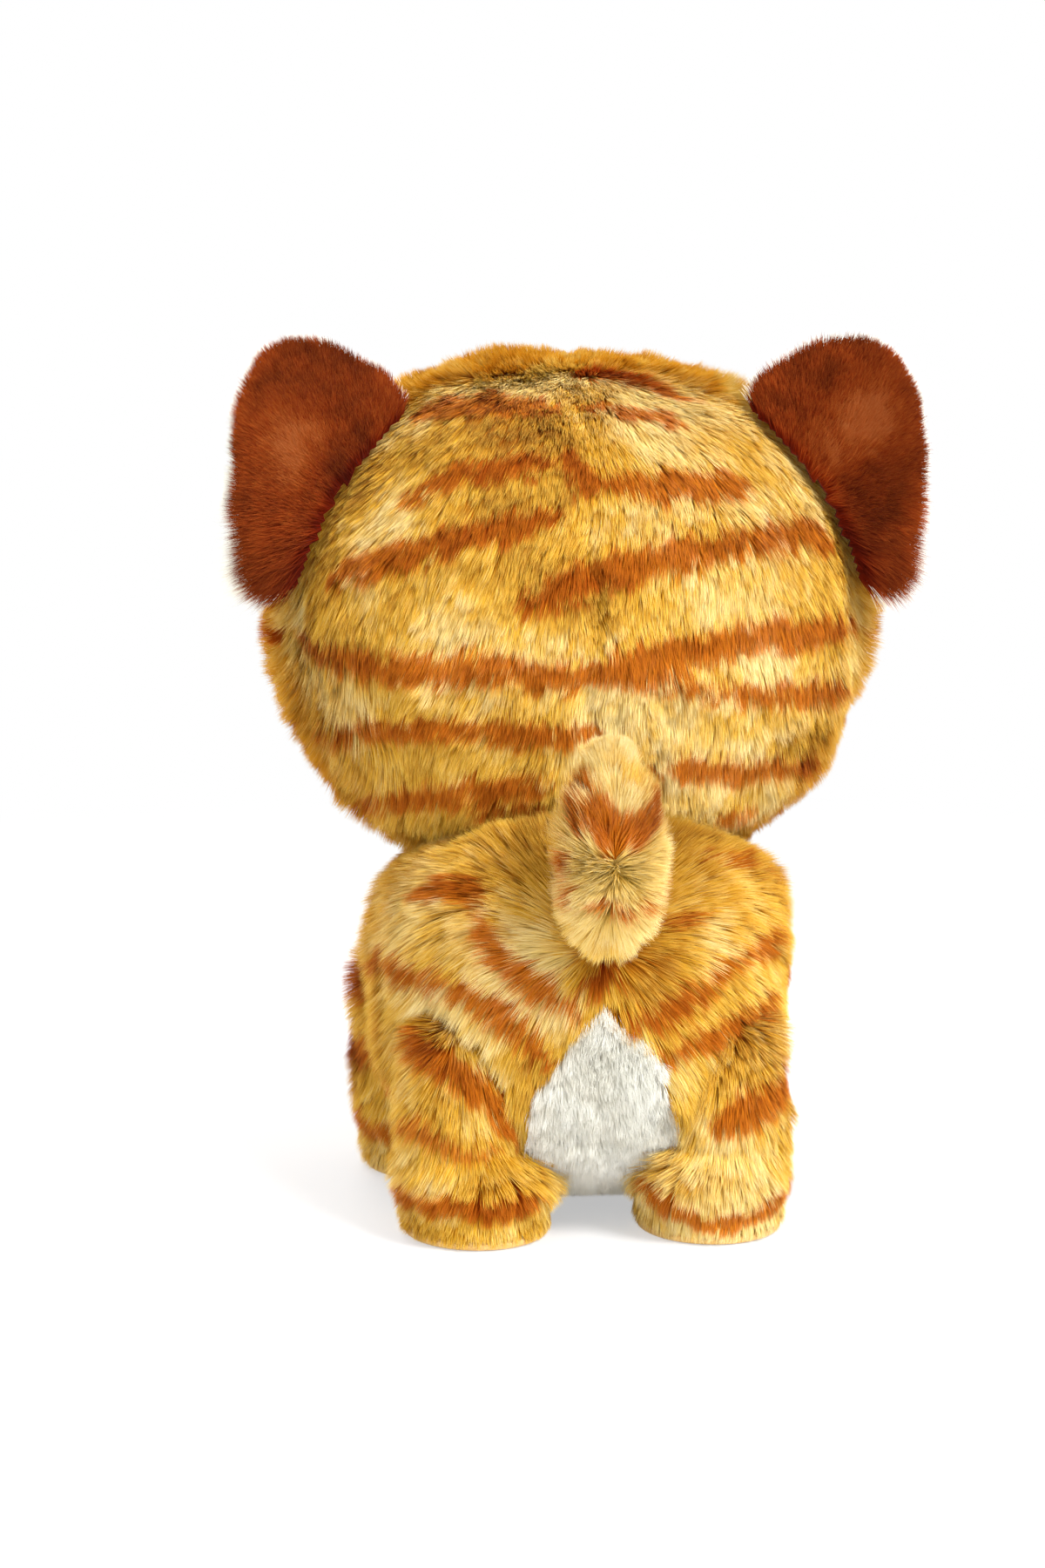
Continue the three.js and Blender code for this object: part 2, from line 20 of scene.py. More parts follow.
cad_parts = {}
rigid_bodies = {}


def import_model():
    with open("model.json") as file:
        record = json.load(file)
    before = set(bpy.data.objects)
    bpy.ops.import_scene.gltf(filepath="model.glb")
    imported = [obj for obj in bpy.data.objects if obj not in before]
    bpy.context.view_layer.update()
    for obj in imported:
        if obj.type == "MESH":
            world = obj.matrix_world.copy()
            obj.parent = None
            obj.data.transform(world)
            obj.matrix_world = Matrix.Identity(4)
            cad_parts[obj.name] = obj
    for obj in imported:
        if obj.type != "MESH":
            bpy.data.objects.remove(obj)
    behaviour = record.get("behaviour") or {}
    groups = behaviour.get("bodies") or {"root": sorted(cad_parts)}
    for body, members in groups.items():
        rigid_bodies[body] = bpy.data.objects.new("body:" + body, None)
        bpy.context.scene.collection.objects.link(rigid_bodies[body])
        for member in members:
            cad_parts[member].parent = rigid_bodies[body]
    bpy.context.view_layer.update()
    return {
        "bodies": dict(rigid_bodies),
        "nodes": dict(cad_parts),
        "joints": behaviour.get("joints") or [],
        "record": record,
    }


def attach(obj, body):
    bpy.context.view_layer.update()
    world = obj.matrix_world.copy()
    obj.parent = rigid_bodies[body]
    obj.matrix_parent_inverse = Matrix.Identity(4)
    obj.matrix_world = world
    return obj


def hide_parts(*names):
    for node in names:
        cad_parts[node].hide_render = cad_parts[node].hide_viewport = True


log = logging.getLogger("plush_cat")

MM = 0.001

# The view of the photograph
PHOTO_WIDTH, PHOTO_HEIGHT = 1200, 1800
CAMERA_AZIMUTH, CAMERA_ELEVATION, CAMERA_DISTANCE = 173.5, 9.5, 0.95
FOCAL_PIXELS = 4790
AIM_HEIGHT, AIM_PIXEL = 0.078, (662, 984)

# Light: lamps as places, widths and powers, all aimed at the cat
AMBIENT = 0.68
LIGHTS = (
    ("key", (-0.9, 1.2, 1.6), 0.8, 52),
    ("fill", (1.2, 1.4, 0.6), 1.2, 5),
    ("front", (0.5, -1.6, 1.1), 1.2, 32),
)

# Fabric
BACKING = 1.2 * MM  # the cloth that the pile stands on
CLOTH = BACKING + 0.7 * MM  # the cloth with its lumps
PILE_ROOM = 4.6 * MM  # how far the cloth lies inside the solid's surface, which the pile then fills
TAIL_ROOM = 4.4 * MM  # the same in the tail, past its root
CELL = 1.3 * MM  # a cell of the cloth, on which 16 strands stand
SEAM_GAP = 0.04 * MM  # the gap between two panels at their seam
LUMP_HEIGHT, LUMP_SIZE = 0.9 * MM, 22 * MM  # the lumps that filling makes in the cloth
DYED_HEIGHT = 2.4 * MM  # how high above the cloth the stripes are laid out
STRIPE_BREADTH = 1.3  # how much broader a stripe's dye is than what the overhanging pile leaves in sight
SEAM_DIP, SEAM_LENGTH = 3.5 * MM, 0.66  # the pile is shorter within this of a seam, down to this share
WANDERS = ((0.30, 16 * MM, 5), (0.22, 6 * MM, 8))  # how the nap wanders: amounts, sizes and seeds
UNEVENNESS, UNEVEN_SIZE = 0.14, 7 * MM  # of the pile's length, and from how far apart
SWAY, SWAY_SIZE = 9, 5 * MM  # how the pile's lean varies, in degrees
FLOOR_GAP = 0.4 * MM  # no strand hangs lower than this
MARBLING = ((0.42, 13 * MM, 21), (0.2, 4 * MM, 22))  # paler and darker places: amounts, sizes and seeds
TUFT_CONTRAST = 0.4  # how much paler or darker tufts are
PILE_STRIP = (0.01, 0.93)  # the lower edge and height of the pile's strip in the flat layout
CLOTH_STRIP = (0.955, 0.018, 0.022)  # the same for the cloth's outer side, and the step to its inner side
WRAPPED_WIDTH = 0.98  # what a piece that runs round takes of the layout's width

# Large primes that mix a lattice corner's place and the seed into one number, and stir that
PLACE_PRIMES = np.array([73856093, 19349663, 83492791])
SEED_PRIME, STIR_PRIME = 39916801, 1274126177

Piece = bpy.types.Object
Material = bpy.types.Material
Array = np.ndarray
Field = Callable[[Array], Array]
Faces = Sequence[tuple[int, ...]]
Plane = tuple[Array, Array]
Colour = tuple[float, float, float]
Spot = tuple[tuple[float, float], float, float]


class Side(Enum):
    """The cat's own left and right."""

    LEFT = 1
    RIGHT = -1

    @property
    def word(self) -> str:
        """The side's name in node names."""
        return self.name.lower()

    @property
    def flip(self) -> Array:
        """What brings a place on the left to this side."""
        return np.array([self.value, 1.0, 1.0])

    @property
    def wall(self) -> Plane:
        """A point of the plane where this side's panels end at the middle seam, and the way into them."""
        return np.array([self.value * SEAM_GAP / 2, 0, 0]), np.array([self.value, 0.0, 0.0])


def mm(*values: float) -> Array:
    """A place or size given in millimetres, in metres."""
    return np.array(values, dtype=float) * MM


def unit(vectors: Array) -> Array:
    """Scales vectors, one to a row, to a length of one."""
    return vectors / np.maximum(np.linalg.norm(vectors, axis=-1, keepdims=True), 1e-12)


def smooth(values: Array | float, low: float = 0.0, high: float = 1.0) -> Array:
    """Eases values from 0 at low to 1 at high."""
    t = np.clip((np.asarray(values, dtype=float) - low) / (high - low), 0.0, 1.0)
    return t * t * (3.0 - 2.0 * t)


def nearness(points: Array, spot: Array, size: float) -> Array:
    """How near places lie to a spot: 1 at its middle, and a third at its size from there."""
    return np.exp(-(np.linalg.norm(points - spot, axis=1) / size) ** 2)


def lattice_noise(points: Array, size: float, seed: int) -> Array:
    """Smooth noise from -1 to 1.

    Args:
        points: Places, one to a row.
        size: The size of its lumps.
        seed: Picks one noise out of many.

    Returns:
        One value to each point.
    """
    cell = points / size
    base = np.floor(cell).astype(np.int64)
    part = cell - base
    part = part * part * (3.0 - 2.0 * part)
    total = np.zeros(len(points))
    for corner in itertools.product((0, 1), repeat=3):
        mixed = np.bitwise_xor.reduce((base + np.array(corner)) * PLACE_PRIMES, axis=1) ^ seed * SEED_PRIME
        mixed = (mixed ^ (mixed >> 13)) * STIR_PRIME
        value = ((mixed ^ (mixed >> 16)) & 0xFFFF) / 32767.5 - 1.0
        weight = np.prod(np.where(np.array(corner) == 1, part, 1.0 - part), axis=1)
        total += weight * value
    return total


def swirl(points: Array, size: float, seed: int) -> Array:
    """A smooth field of vectors whose parts run from -1 to 1, with swirls of a size."""
    return np.stack([lattice_noise(points, size, seed + axis) for axis in range(3)], axis=1)


@dataclass(frozen=True)
class StuffedForm:
    """A stuffed form about a middle: a superellipse in plan, and another one above and below its middle.

    Args:
        middle: Its middle.
        half: Its half sizes.
        plan: How square it is in plan.
        upper: How square its upper half is.
        lower: How square its lower half is.
        taper: How much wider than its half width it is in front, and narrower behind.
    """

    middle: Array
    half: Array
    plan: float
    upper: float
    lower: float
    taper: float = 0.0

    def surface(self, ways: Array, inset: float | Array = 0.0) -> Array:
        """The surface points along directions from the middle.

        Args:
            ways: Directions, one to a row.
            inset: How far the form is drawn in, everywhere or at each of them.

        Returns:
            One point to each direction.
        """
        way = unit(np.atleast_2d(np.asarray(ways, dtype=float)))
        half = self.half - np.reshape(inset, (-1, 1))
        across, along, level = np.abs(way / half).T
        flat = (across ** self.plan + along ** self.plan) ** (1 / self.plan)
        power = np.where(way[:, 2] < 0, self.lower, self.upper)
        reach = (flat ** power + level ** power) ** (-1 / power)
        out = way * reach[:, None]
        out[:, 0] *= 1 - self.taper / self.half[0] * out[:, 1] / self.half[1]
        return self.middle + out

    def outside(self, points: Array) -> Array:
        """How far points lie outside the form, along lines from its middle. It is negative inside.

        Args:
            points: Places, one to a row.

        Returns:
            One distance to each point.
        """
        local = points - self.middle
        local[:, 0] /= 1 - self.taper / self.half[0] * local[:, 1] / self.half[1]
        flat = (np.abs(local[:, 0] / self.half[0]) ** self.plan
                + np.abs(local[:, 1] / self.half[1]) ** self.plan) ** (1 / self.plan)
        power = np.where(local[:, 2] < 0, self.lower, self.upper)
        share = (flat ** power + np.abs(local[:, 2] / self.half[2]) ** power) ** (1 / power)
        return np.linalg.norm(local, axis=1) * (1 - 1 / np.maximum(share, 1e-6))

    def normal(self, way: Sequence[float]) -> Array:
        """The outward normal at the surface point along a direction.

        Args:
            way: A direction from the middle.

        Returns:
            A vector of length one.
        """
        way = unit(np.asarray(way, dtype=float))
        across = unit(np.array([-way[1], way[0], 0.0]))
        above = np.cross(way, across)
        corners = self.surface(np.stack([way, way + 0.01 * across, way + 0.01 * above]))
        normal = unit(np.cross(corners[1] - corners[0], corners[2] - corners[0]))
        return normal if normal @ way > 0 else -normal

    def at_angles(self, angles: Array, inset: float = 0.0) -> Array:
        """The surface points at angles seen from the middle.

        Args:
            angles: Pairs in degrees: round from the back towards the cat's left, and up from level.
            inset: How far the form is drawn in.

        Returns:
            One point to each pair.
        """
        turn, rise = np.radians(np.atleast_2d(angles)).T
        ways = np.stack([np.sin(turn) * np.cos(rise), np.cos(turn) * np.cos(rise), np.sin(rise)], axis=1)
        return self.surface(ways, inset)

    def spotted(self, points: Array, spots: Sequence[Spot]) -> Array:
        """What soft spots on the form add up to at places."""
        return sum(amount * nearness(points, self.at_angles(angles)[0], size * MM)
                   for angles, size, amount in spots)


@dataclass(frozen=True)
class LegForm:
    """A stuffed leg: a ball at the hip, a slimmer calf and a wide foot.

    Args:
        hip: The hip ball's middle.
        hip_radius: The hip ball's radius.
        calf: The calf's middle.
        calf_half: Its half widths along x and y.
        foot: The middle of the foot's widest level.
        foot_half: Its half widths along x and y.
        collar: How far the sleeve reaches above the hip's middle.
        edge: The radius of the foot's rounded lower edge.
    """

    hip: Array
    hip_radius: float
    calf: Array
    calf_half: tuple[float, float]
    foot: Array
    foot_half: tuple[float, float]
    collar: float = 12 * MM
    edge: float = 5 * MM

    def mirrored(self) -> "LegForm":
        """The same leg on the other side."""
        flip = Side.RIGHT.flip
        return replace(self, hip=self.hip * flip, calf=self.calf * flip, foot=self.foot * flip)

    def ring(self, z: Array, inset: float) -> tuple[Array, Array, Array, Array]:
        """The leg's level sections.

        Args:
            z: Their heights.
            inset: How far the form is drawn in.

        Returns:
            The sections' middles along x and y, and their half widths along x and y.
        """
        low = smooth(z, self.foot[2], self.calf[2])
        high = smooth(z, self.calf[2], self.hip[2])

        def mix(foot: float, calf: float, hip: float) -> Array:
            """Eases a value from the foot's over the calf's to the hip's."""
            return foot + (calf - foot) * low + (hip - calf) * high

        edge = np.clip(1 - z / self.edge, 0, 1)
        drawn = inset + self.edge * (1 - np.sqrt(1 - edge * edge))
        over = np.clip(z - self.hip[2], 0, None)
        ball = np.sqrt(np.clip((self.hip_radius - inset) ** 2 - over ** 2, 1e-10, None))
        half_x = mix(self.foot_half[0], self.calf_half[0], self.hip_radius) - drawn
        half_y = mix(self.foot_half[1], self.calf_half[1], self.hip_radius) - drawn
        return (mix(self.foot[0], self.calf[0], self.hip[0]), mix(self.foot[1], self.calf[1], self.hip[1]),
                np.where(over > 0, ball, half_x), np.where(over > 0, ball, half_y))

    def surface(self, turn: Array, z: Array, inset: float = 0.0) -> Array:
        """Points on the leg.

        Args:
            turn: Angles in degrees, round from the back towards the cat's left.
            z: Heights.
            inset: How far the form is drawn in.

        Returns:
            One point to each pair.
        """
        x, y, half_x, half_y = self.ring(z, inset)
        angle = np.radians(turn)
        return np.stack([x + half_x * np.sin(angle), y + half_y * np.cos(angle), z], axis=1)

    def at_angles(self, places: Array, inset: float = 0.0) -> Array:
        """Points at pairs of degrees, round from the back towards the cat's left, and millimetres up."""
        turn, z = np.atleast_2d(places).T
        return self.surface(turn, z * MM, inset)

    def outside(self, points: Array) -> Array:
        """Roughly how far points lie outside the leg. It is negative inside.

        Args:
            points: Places, one to a row.

        Returns:
            One distance to each point.
        """
        x, y, half_x, half_y = self.ring(points[:, 2], 0.0)
        across = np.hypot((points[:, 0] - x) / half_x, (points[:, 1] - y) / half_y)
        level = (across - 1) * np.minimum(half_x, half_y)
        return np.maximum(level, points[:, 2] - self.hip[2] - self.hip_radius)


@dataclass(frozen=True)
class TailForm:
    """A stuffed tail round a bent line.

    Args:
        line: Points along its middle line.
        halves: Its half widths, sideways and backwards, at even steps from the root to the tip.
    """

    line: Array
    halves: Array

    def frames(self, along: Array) -> tuple[Array, Array, Array]:
        """Places along the line.

        Args:
            along: Shares of its length, from 0 at the root to 1 at the tip's middle.

        Returns:
            The points, the directions along the line, and the directions back from it.
        """
        count = len(self.line) - 1
        place = np.clip(along, 0, 1) * count
        start = np.clip(np.floor(place).astype(int), 0, count - 1)
        t = (place - start)[:, None]
        before, after = np.clip(start - 1, 0, count), np.clip(start + 2, 0, count)
        p0, p1, p2, p3 = (self.line[number] for number in (before, start, start + 1, after))
        linear, square, cube = p2 - p0, 2 * p0 - 5 * p1 + 4 * p2 - p3, 3 * p1 - p0 - 3 * p2 + p3
        point = 0.5 * (2 * p1 + linear * t + square * t ** 2 + cube * t ** 3)
        forward = unit(linear + 2 * square * t + 3 * cube * t ** 2)
        back = np.cross(forward, np.array([1.0, 0.0, 0.0]))
        return point, forward, back

    def surface(self, turn: Array, along: Array, inset: float = 0.0) -> Array:
        """Points on the tail.

        Args:
            turn: Angles in degrees, round from the back towards the cat's left.
            along: From 0 at the root to 1 at the tip's middle, and to 2 over the round tip.
            inset: How far the form is drawn in.

        Returns:
            One point to each pair.
        """
        point, forward, back = self.frames(along)
        halves = self.halves
        place = np.clip(along, 0, 1) * (len(halves) - 1)
        step = np.clip(np.floor(place).astype(int), 0, len(halves) - 2)
        share = smooth(place - step)[:, None]
        half = halves[step] + (halves[step + 1] - halves[step]) * share - np.reshape(inset, (-1, 1))
        tip = halves[-1].mean() - inset
        over = np.radians(90) * np.clip(along - 1, 0, 1)
        angle = np.radians(turn)
        wide, deep = (half * np.cos(over)[:, None]).T
        sideways = np.array([1.0, 0.0, 0.0]) * (wide * np.sin(angle))[:, None]
        backwards = back * (deep * np.cos(angle))[:, None]
        return point + forward * (tip * np.sin(over))[:, None] + (sideways + backwards)

    def at_angles(self, places: Array, inset: float = 0.0) -> Array:
        """Points at pairs of degrees, round from the back towards the cat's left, and percentages along."""
        turn, along = np.atleast_2d(places).astype(float).T
        return self.surface(turn, along / 100, inset)


@dataclass(frozen=True)
class EarForm:
    """The left ear in its own frame: along its base from the top down, out from the head, and backwards.

    Args:
        top: The top of its base.
        down: The way along its base.
        out: The way out from the head.
        back: The way towards its back.
        length: The length of its base.
        outline: Points along its outline, as distances along the base and out from it.
        middle: The outline's middle.
        cup: How far its middle bows backwards.
    """

    top: Array
    down: Array
    out: Array
    back: Array
    length: float
    outline: Array
    middle: Array
    cup: float

    def edge(self, turn: Array) -> Array:
        """Places on its outline.

        Args:
            turn: Shares of the way round.

        Returns:
            Pairs of distances along the base and out from it.
        """
        count = len(self.outline)
        place = (turn % 1.0) * count
        start = np.floor(place).astype(int) % count
        t = (place - np.floor(place))[:, None]
        p0, p1, p2, p3 = (self.outline[(start + step) % count] for step in (-1, 0, 1, 2))
        leave, arrive = 0.6 * (p2 - p0), 0.6 * (p3 - p1)
        return ((2 * t ** 3 - 3 * t ** 2 + 1) * p1 + (t ** 3 - 2 * t ** 2 + t) * leave
                + (3 * t ** 2 - 2 * t ** 3) * p2 + (t ** 3 - t ** 2) * arrive)

    def place(self, spot: Array, offset: Array) -> Array:
        """Points at distances along the base and out from it, and offsets behind the middle sheet."""
        behind = self.cup * (1 - (2 * spot[:, 0] / self.length - 1) ** 2) + offset
        return self.top + self.down * spot[:, :1] + self.out * spot[:, 1:2] + self.back * behind[:, None]

    def flat(self, points: Array) -> Array:
        """How far along the base and out from it points lie."""
        local = points - self.top
        return np.stack([local @ self.down, local @ self.out], axis=1)


@dataclass(frozen=True)
class Stripe:
    """One tabby stripe.

    Args:
        places: Its middle line, as pairs that its form's at_angles takes.
        width: Its width in millimetres at its middle.
        strength: How dark it is, up to 1.
    """

    places: tuple[tuple[float, float], ...]
    width: float
    strength: float = 1.0

    def mirrored(self) -> "Stripe":
        """The same stripe on the other side."""
        return Stripe(tuple((-turn, level) for turn, level in self.places), self.width, self.strength)


def both_sides(stripes: Sequence[Stripe]) -> list[Stripe]:
    """The stripes of one side and their mirror images."""
    return [*stripes, *(stripe.mirrored() for stripe in stripes)]


# Measured from behind: degrees round from the back towards the cat's left, and degrees up
HEAD_STRIPES = [
    Stripe(((62, 48), (55, 51), (35, 56), (11, 56)), 6.5, 0.75),
    Stripe(((47, 28), (36, 35), (22, 39), (7, 40)), 4.5),
    Stripe(((62, 9), (50, 14), (40, 18), (25, 23), (9, 28)), 5.5),
    Stripe(((72, -5), (44, -7), (30, -7), (16, -7), (0, -9)), 6),
    Stripe(((72, -23), (40, -21), (26, -21), (13, -22), (0, -22)), 5.5),
    Stripe(((76, -40), (40, -37), (11, -33)), 5.5),
    Stripe(((34, -42), (12, -38)), 3.5),
    Stripe(((7, 42), (4, 38), (0, 34)), 5.5),
    Stripe(((0, 74), (-15, 72), (-29, 68), (-54, 51)), 4.5),
    Stripe(((0, 57), (-21, 52), (-31, 49)), 4, 0.8),
    Stripe(((0, 36), (-22, 34), (-41, 31)), 5.5),
    Stripe(((16, 8), (-3, 14), (-23, 18), (-53, 18), (-64, 15)), 6.5),
    Stripe(((0, -8), (-18, -4), (-38, 0), (-74, -3)), 6.5),
    Stripe(((-4, -8), (-18, -10), (-39, -14), (-72, -16)), 4.5),
    Stripe(((-16, -30), (-40, -32), (-72, -30)), 5.5),
    Stripe(((-40, -43), (-52, -42), (-76, -44)), 4.5),
]
FACE_STRIPES = both_sides([
    Stripe(((170, 30), (163, 44), (150, 58)), 4),
    Stripe(((156, 24), (146, 36), (132, 46)), 4),
    Stripe(((82, -5), (104, -5), (124, 1)), 5),
    Stripe(((82, -22), (106, -20), (124, -13)), 5),
    Stripe(((82, -40), (104, -38), (122, -32)), 4.5),
]) + [Stripe(((180, 34), (180, 62)), 4)]
TORSO_STRIPES = [
    Stripe(((60, 28), (45, 30), (34, 31), (31, 21), (20, 10), (7, 4)), 5.0),
    Stripe(((96, 6), (80, 9), (47, 10), (28, 4), (13, -7)), 5.0),
    Stripe(((97, 8), (88, 2), (78, -3), (64, -8)), 4.5),
    Stripe(((100, -27), (88, -26), (76, -27)), 4),
    Stripe(((4, 9), (1, 13), (-3, 17)), 4.0),
    Stripe(((-26, 39), (-36, 37), (-59, 33), (-72, 30)), 4.5),
    Stripe(((-9, 28), (-20, 24), (-30, 24)), 4, 0.8),
    Stripe(((-6, 1), (-20, 5), (-31, 13), (-52, 18), (-70, 20)), 4.8),
    Stripe(((-13, -7), (-27, -3), (-38, 1), (-55, 4)), 4.5),
    Stripe(((-96, 2), (-80, 5), (-62, 9)), 4.2),
    Stripe(((-98, -18), (-86, -16), (-76, -14)), 4),
    *both_sides([
        Stripe(((112, 24), (128, 18), (142, 8)), 5),
        Stripe(((110, 2), (124, -2), (136, -12)), 4.5),
    ]),
]
# Degrees round from the back towards the cat's left, and heights in millimetres
REAR_LEFT_STRIPES = [
    Stripe(((80, 45), (59, 43), (18, 39), (-19, 34), (-42, 23)), 5.2),
    Stripe(((80, 25), (42, 26), (3, 22), (-21, 23)), 4, 0.7),
    Stripe(((96, 12), (55, 11), (-3, 9), (-44, 10)), 5),
]
REAR_RIGHT_STRIPES = [
    Stripe(((-40, 49), (-73, 50), (-96, 48)), 4.5, 0.8),
    Stripe(((14, 27), (-18, 32), (-60, 34), (-96, 36)), 6.2),
    Stripe(((60, 12), (46, 8), (23, 6), (-6, 5), (-60, 9), (-96, 12)), 4.5),
]
FRONT_LEG_STRIPES = [
    Stripe(((30, 45), (80, 47), (130, 42)), 6),
    Stripe(((-20, 27), (40, 30), (90, 31), (140, 27), (190, 29)), 5.5),
    Stripe(((-30, 11), (40, 13), (90, 12), (150, 10)), 5),
]
# Degrees round from the back towards the cat's left, and percentages along
TAIL_STRIPES = [
    Stripe(((130, 98), (75, 94), (40, 86), (5, 76), (-25, 77), (-70, 86), (-130, 90)), 5.0),
    Stripe(((110, 92), (70, 88), (40, 81)), 5.5),
    Stripe(((100, 30), (85, 45), (78, 60), (74, 70)), 3.5),
    Stripe(((-120, 40), (-160, 44), (170, 46)), 5),
]

# Paler spots, or darker ones with a negative amount: angles as above, sizes in millimetres, and amounts
HEAD_SPOTS = [
    ((30, -2), 12, 0.7), ((56, 16), 10, 0.6), ((60, -16), 12, 0.5), ((-12, -16), 14, 0.7),
    ((-40, -8), 14, 0.6), ((-20, 46), 12, 0.5), ((0, 58), 9, 0.2), ((22, 62), 10, 0.3),
    ((26, 44), 15, -0.7), ((-26, 24), 14, 0.35), ((34, -30), 20, 0.15), ((10, 20), 14, -0.15),
    ((60, -38), 14, 0.3), ((-36, -36), 12, 0.3),
]
TORSO_SPOTS = [
    ((20, 16), 10, 0.9), ((45, -4), 12, 0.4), ((-30, -6), 14, 0.35), ((60, 20), 14, 0.6),
    ((-50, 5), 14, 0.2), ((12, 6), 8, 0.6), ((60, 44), 14, 0.3),
]


@dataclass
class Coat:
    """How the pile of one piece grows and is coloured.

    Args:
        length: The strands' length.
        nap: Gives the way that the pile lies at each place.
        lean: How far the strands lean from upright in degrees, or what gives it at each place.
        scatter: How much single strands stray, as a share of their length.
        clump: How far strands draw together into tufts, from 0 to 1.
        tuft: The size of the tufts.
        share: Gives the share of the length that the pile has at each place.
        pale: Gives how much paler or darker than usual the ground is at each place.
        stripe_lines: Middle lines of the stripes, with their half widths and strengths.
        strands_deep: How many small triangles lie along a side of each of a cell's four triangles.
        width: How wide a strand is at its root.
        roll: How far strands turn round their own length, in degrees each way.
        seed: Picks the strands' strays.
    """

    length: float
    nap: Field
    lean: float | Field = 58.0
    scatter: float = 0.14
    clump: float = 0.5
    tuft: float = 2.2 * MM
    share: Field | None = None
    pale: Field | None = None
    stripe_lines: list[tuple[Array, float, float]] = field(default_factory=list)
    strands_deep: int = 2
    width: float = 0.32 * MM
    roll: float = 30.0
    seed: int = 1

    def lay_stripes(self, stripes: Sequence[Stripe], form: StuffedForm | LegForm | TailForm,
                    room: Field | None = None) -> None:
        """Adds stripes that lie on a form.

        Args:
            stripes: The stripes.
            form: The form whose angles they are given in.
            room: What gives the depth of the pile's room, if it varies.
        """
        for stripe in stripes:
            places = np.array(stripe.places, dtype=float)
            steps = np.linspace(0, len(places) - 1, 6 * (len(places) - 1) + 1)
            filled = np.stack([np.interp(steps, range(len(places)), column) for column in places.T], axis=1)
            half = stripe.width * STRIPE_BREADTH * MM / 2
            depth = room(form.at_angles(filled)) if room else PILE_ROOM
            self.stripe_lines.append((form.at_angles(filled, depth - DYED_HEIGHT), half, stripe.strength))

    def stripe_at(self, points: Array) -> Array:
        """How strongly striped the pile is.

        Args:
            points: Places, one to a row.

        Returns:
            From 0 between stripes to 1 in the middle of one.
        """
        strength = np.zeros(len(points))
        ragged = points + 1.0 * MM * swirl(points, 4 * MM, 11) + 1.6 * MM * swirl(points, 15 * MM, 31)
        for line, half, strong in self.stripe_lines:
            low, high = line.min(axis=0) - 2 * half, line.max(axis=0) + 2 * half
            near = np.flatnonzero(np.all((ragged > low) & (ragged < high), axis=1))
            places = ragged[near]
            nearest = np.full(len(near), np.inf)
            for number, (start, end) in enumerate(itertools.pairwise(line)):
                step = end - start
                share = np.clip((places - start) @ step / (step @ step), 0, 1)
                along = (number + share) / (len(line) - 1)
                reach = half * (0.5 + 0.5 * smooth(np.minimum(along, 1 - along) * 6))
                distance = np.linalg.norm(places - start - share[:, None] * step, axis=1) / reach
                nearest = np.minimum(distance, nearest)
            strength[near] = np.maximum(strength[near], strong * (1 - smooth(nearest, 0.65, 1.3)))
        return strength


@dataclass
class Sheet:
    """An open sheet of cells that lies on a form.

    Args:
        outer: The places of its corners.
        inner: The places of the same corners on the cloth's back.
        faces: The corners of each cell, counter-clockwise from outside.
        chart: Gives each corner's place in the flat layout, from 0 to 1 each way.
        wraps: Whether the layout's first number runs on from 1 to 0.
        seams: Gives how far a place is from the nearest seam, if it has any.
    """

    outer: Array
    inner: Array
    faces: Faces
    chart: Field
    wraps: bool = False
    seams: Field | None = None

    def edges(self) -> list[tuple[int, int]]:
        """The edges that only one cell has.

        Returns:
            Pairs of corners, in the order that their cell runs through them.
        """
        seen = {}
        for face in self.faces:
            for start, end in zip(face, face[1:] + face[:1]):
                key = (min(start, end), max(start, end))
                seen[key] = None if key in seen else (start, end)
        return [edge for edge in seen.values() if edge]


def mesh_parts(bm: bmesh.types.BMesh) -> tuple[Array, Faces]:
    """Reads a mesh's corners and faces, and frees it.

    Args:
        bm: The mesh.

    Returns:
        The places of its corners, and the corners of each face.
    """
    bm.verts.index_update()
    points = np.array([vert.co[:] for vert in bm.verts])
    faces = [tuple(vert.index for vert in face.verts) for face in bm.faces]
    bm.free()
    return points, faces


def ball_of_cells(cells: int) -> tuple[Array, Faces]:
    """Even cells all round a ball.

    Args:
        cells: How many lie along a quarter of the way round.

    Returns:
        Directions, and the corners of each cell.
    """
    bm = bmesh.new()
    bmesh.ops.create_cube(bm, size=2.0)
    bmesh.ops.subdivide_edges(bm, edges=bm.edges[:], cuts=cells - 1, use_grid_fill=True)
    bmesh.ops.recalc_face_normals(bm, faces=bm.faces[:])
    points, faces = mesh_parts(bm)
    return np.tan(points * math.pi / 4), faces


def grid_of_cells(across: int, along: int, rolled: bool) -> tuple[Array, Faces]:
    """A flat grid of cells, from 0 to 1 each way, or rolled up so that its first and last columns are one.

    Args:
        across: How many cells lie along x.
        along: How many cells lie along y.
        rolled: Whether it is rolled up.

    Returns:
        The corners' places on the grid, and the corners of each cell.
    """
    bm = bmesh.new()
    bmesh.ops.create_grid(bm, x_segments=across, y_segments=along, size=0.5)
    bmesh.ops.translate(bm, verts=bm.verts[:], vec=Vector((0.5, 0.5, 0.0)))
    if rolled:
        last = [vert for vert in bm.verts if vert.co.x > 1 - 0.5 / across]
        first = {round(vert.co.y * along): vert for vert in bm.verts if vert.co.x < 0.5 / across}
        bmesh.ops.weld_verts(bm, targetmap={vert: first[round(vert.co.y * along)] for vert in last})
    return mesh_parts(bm)


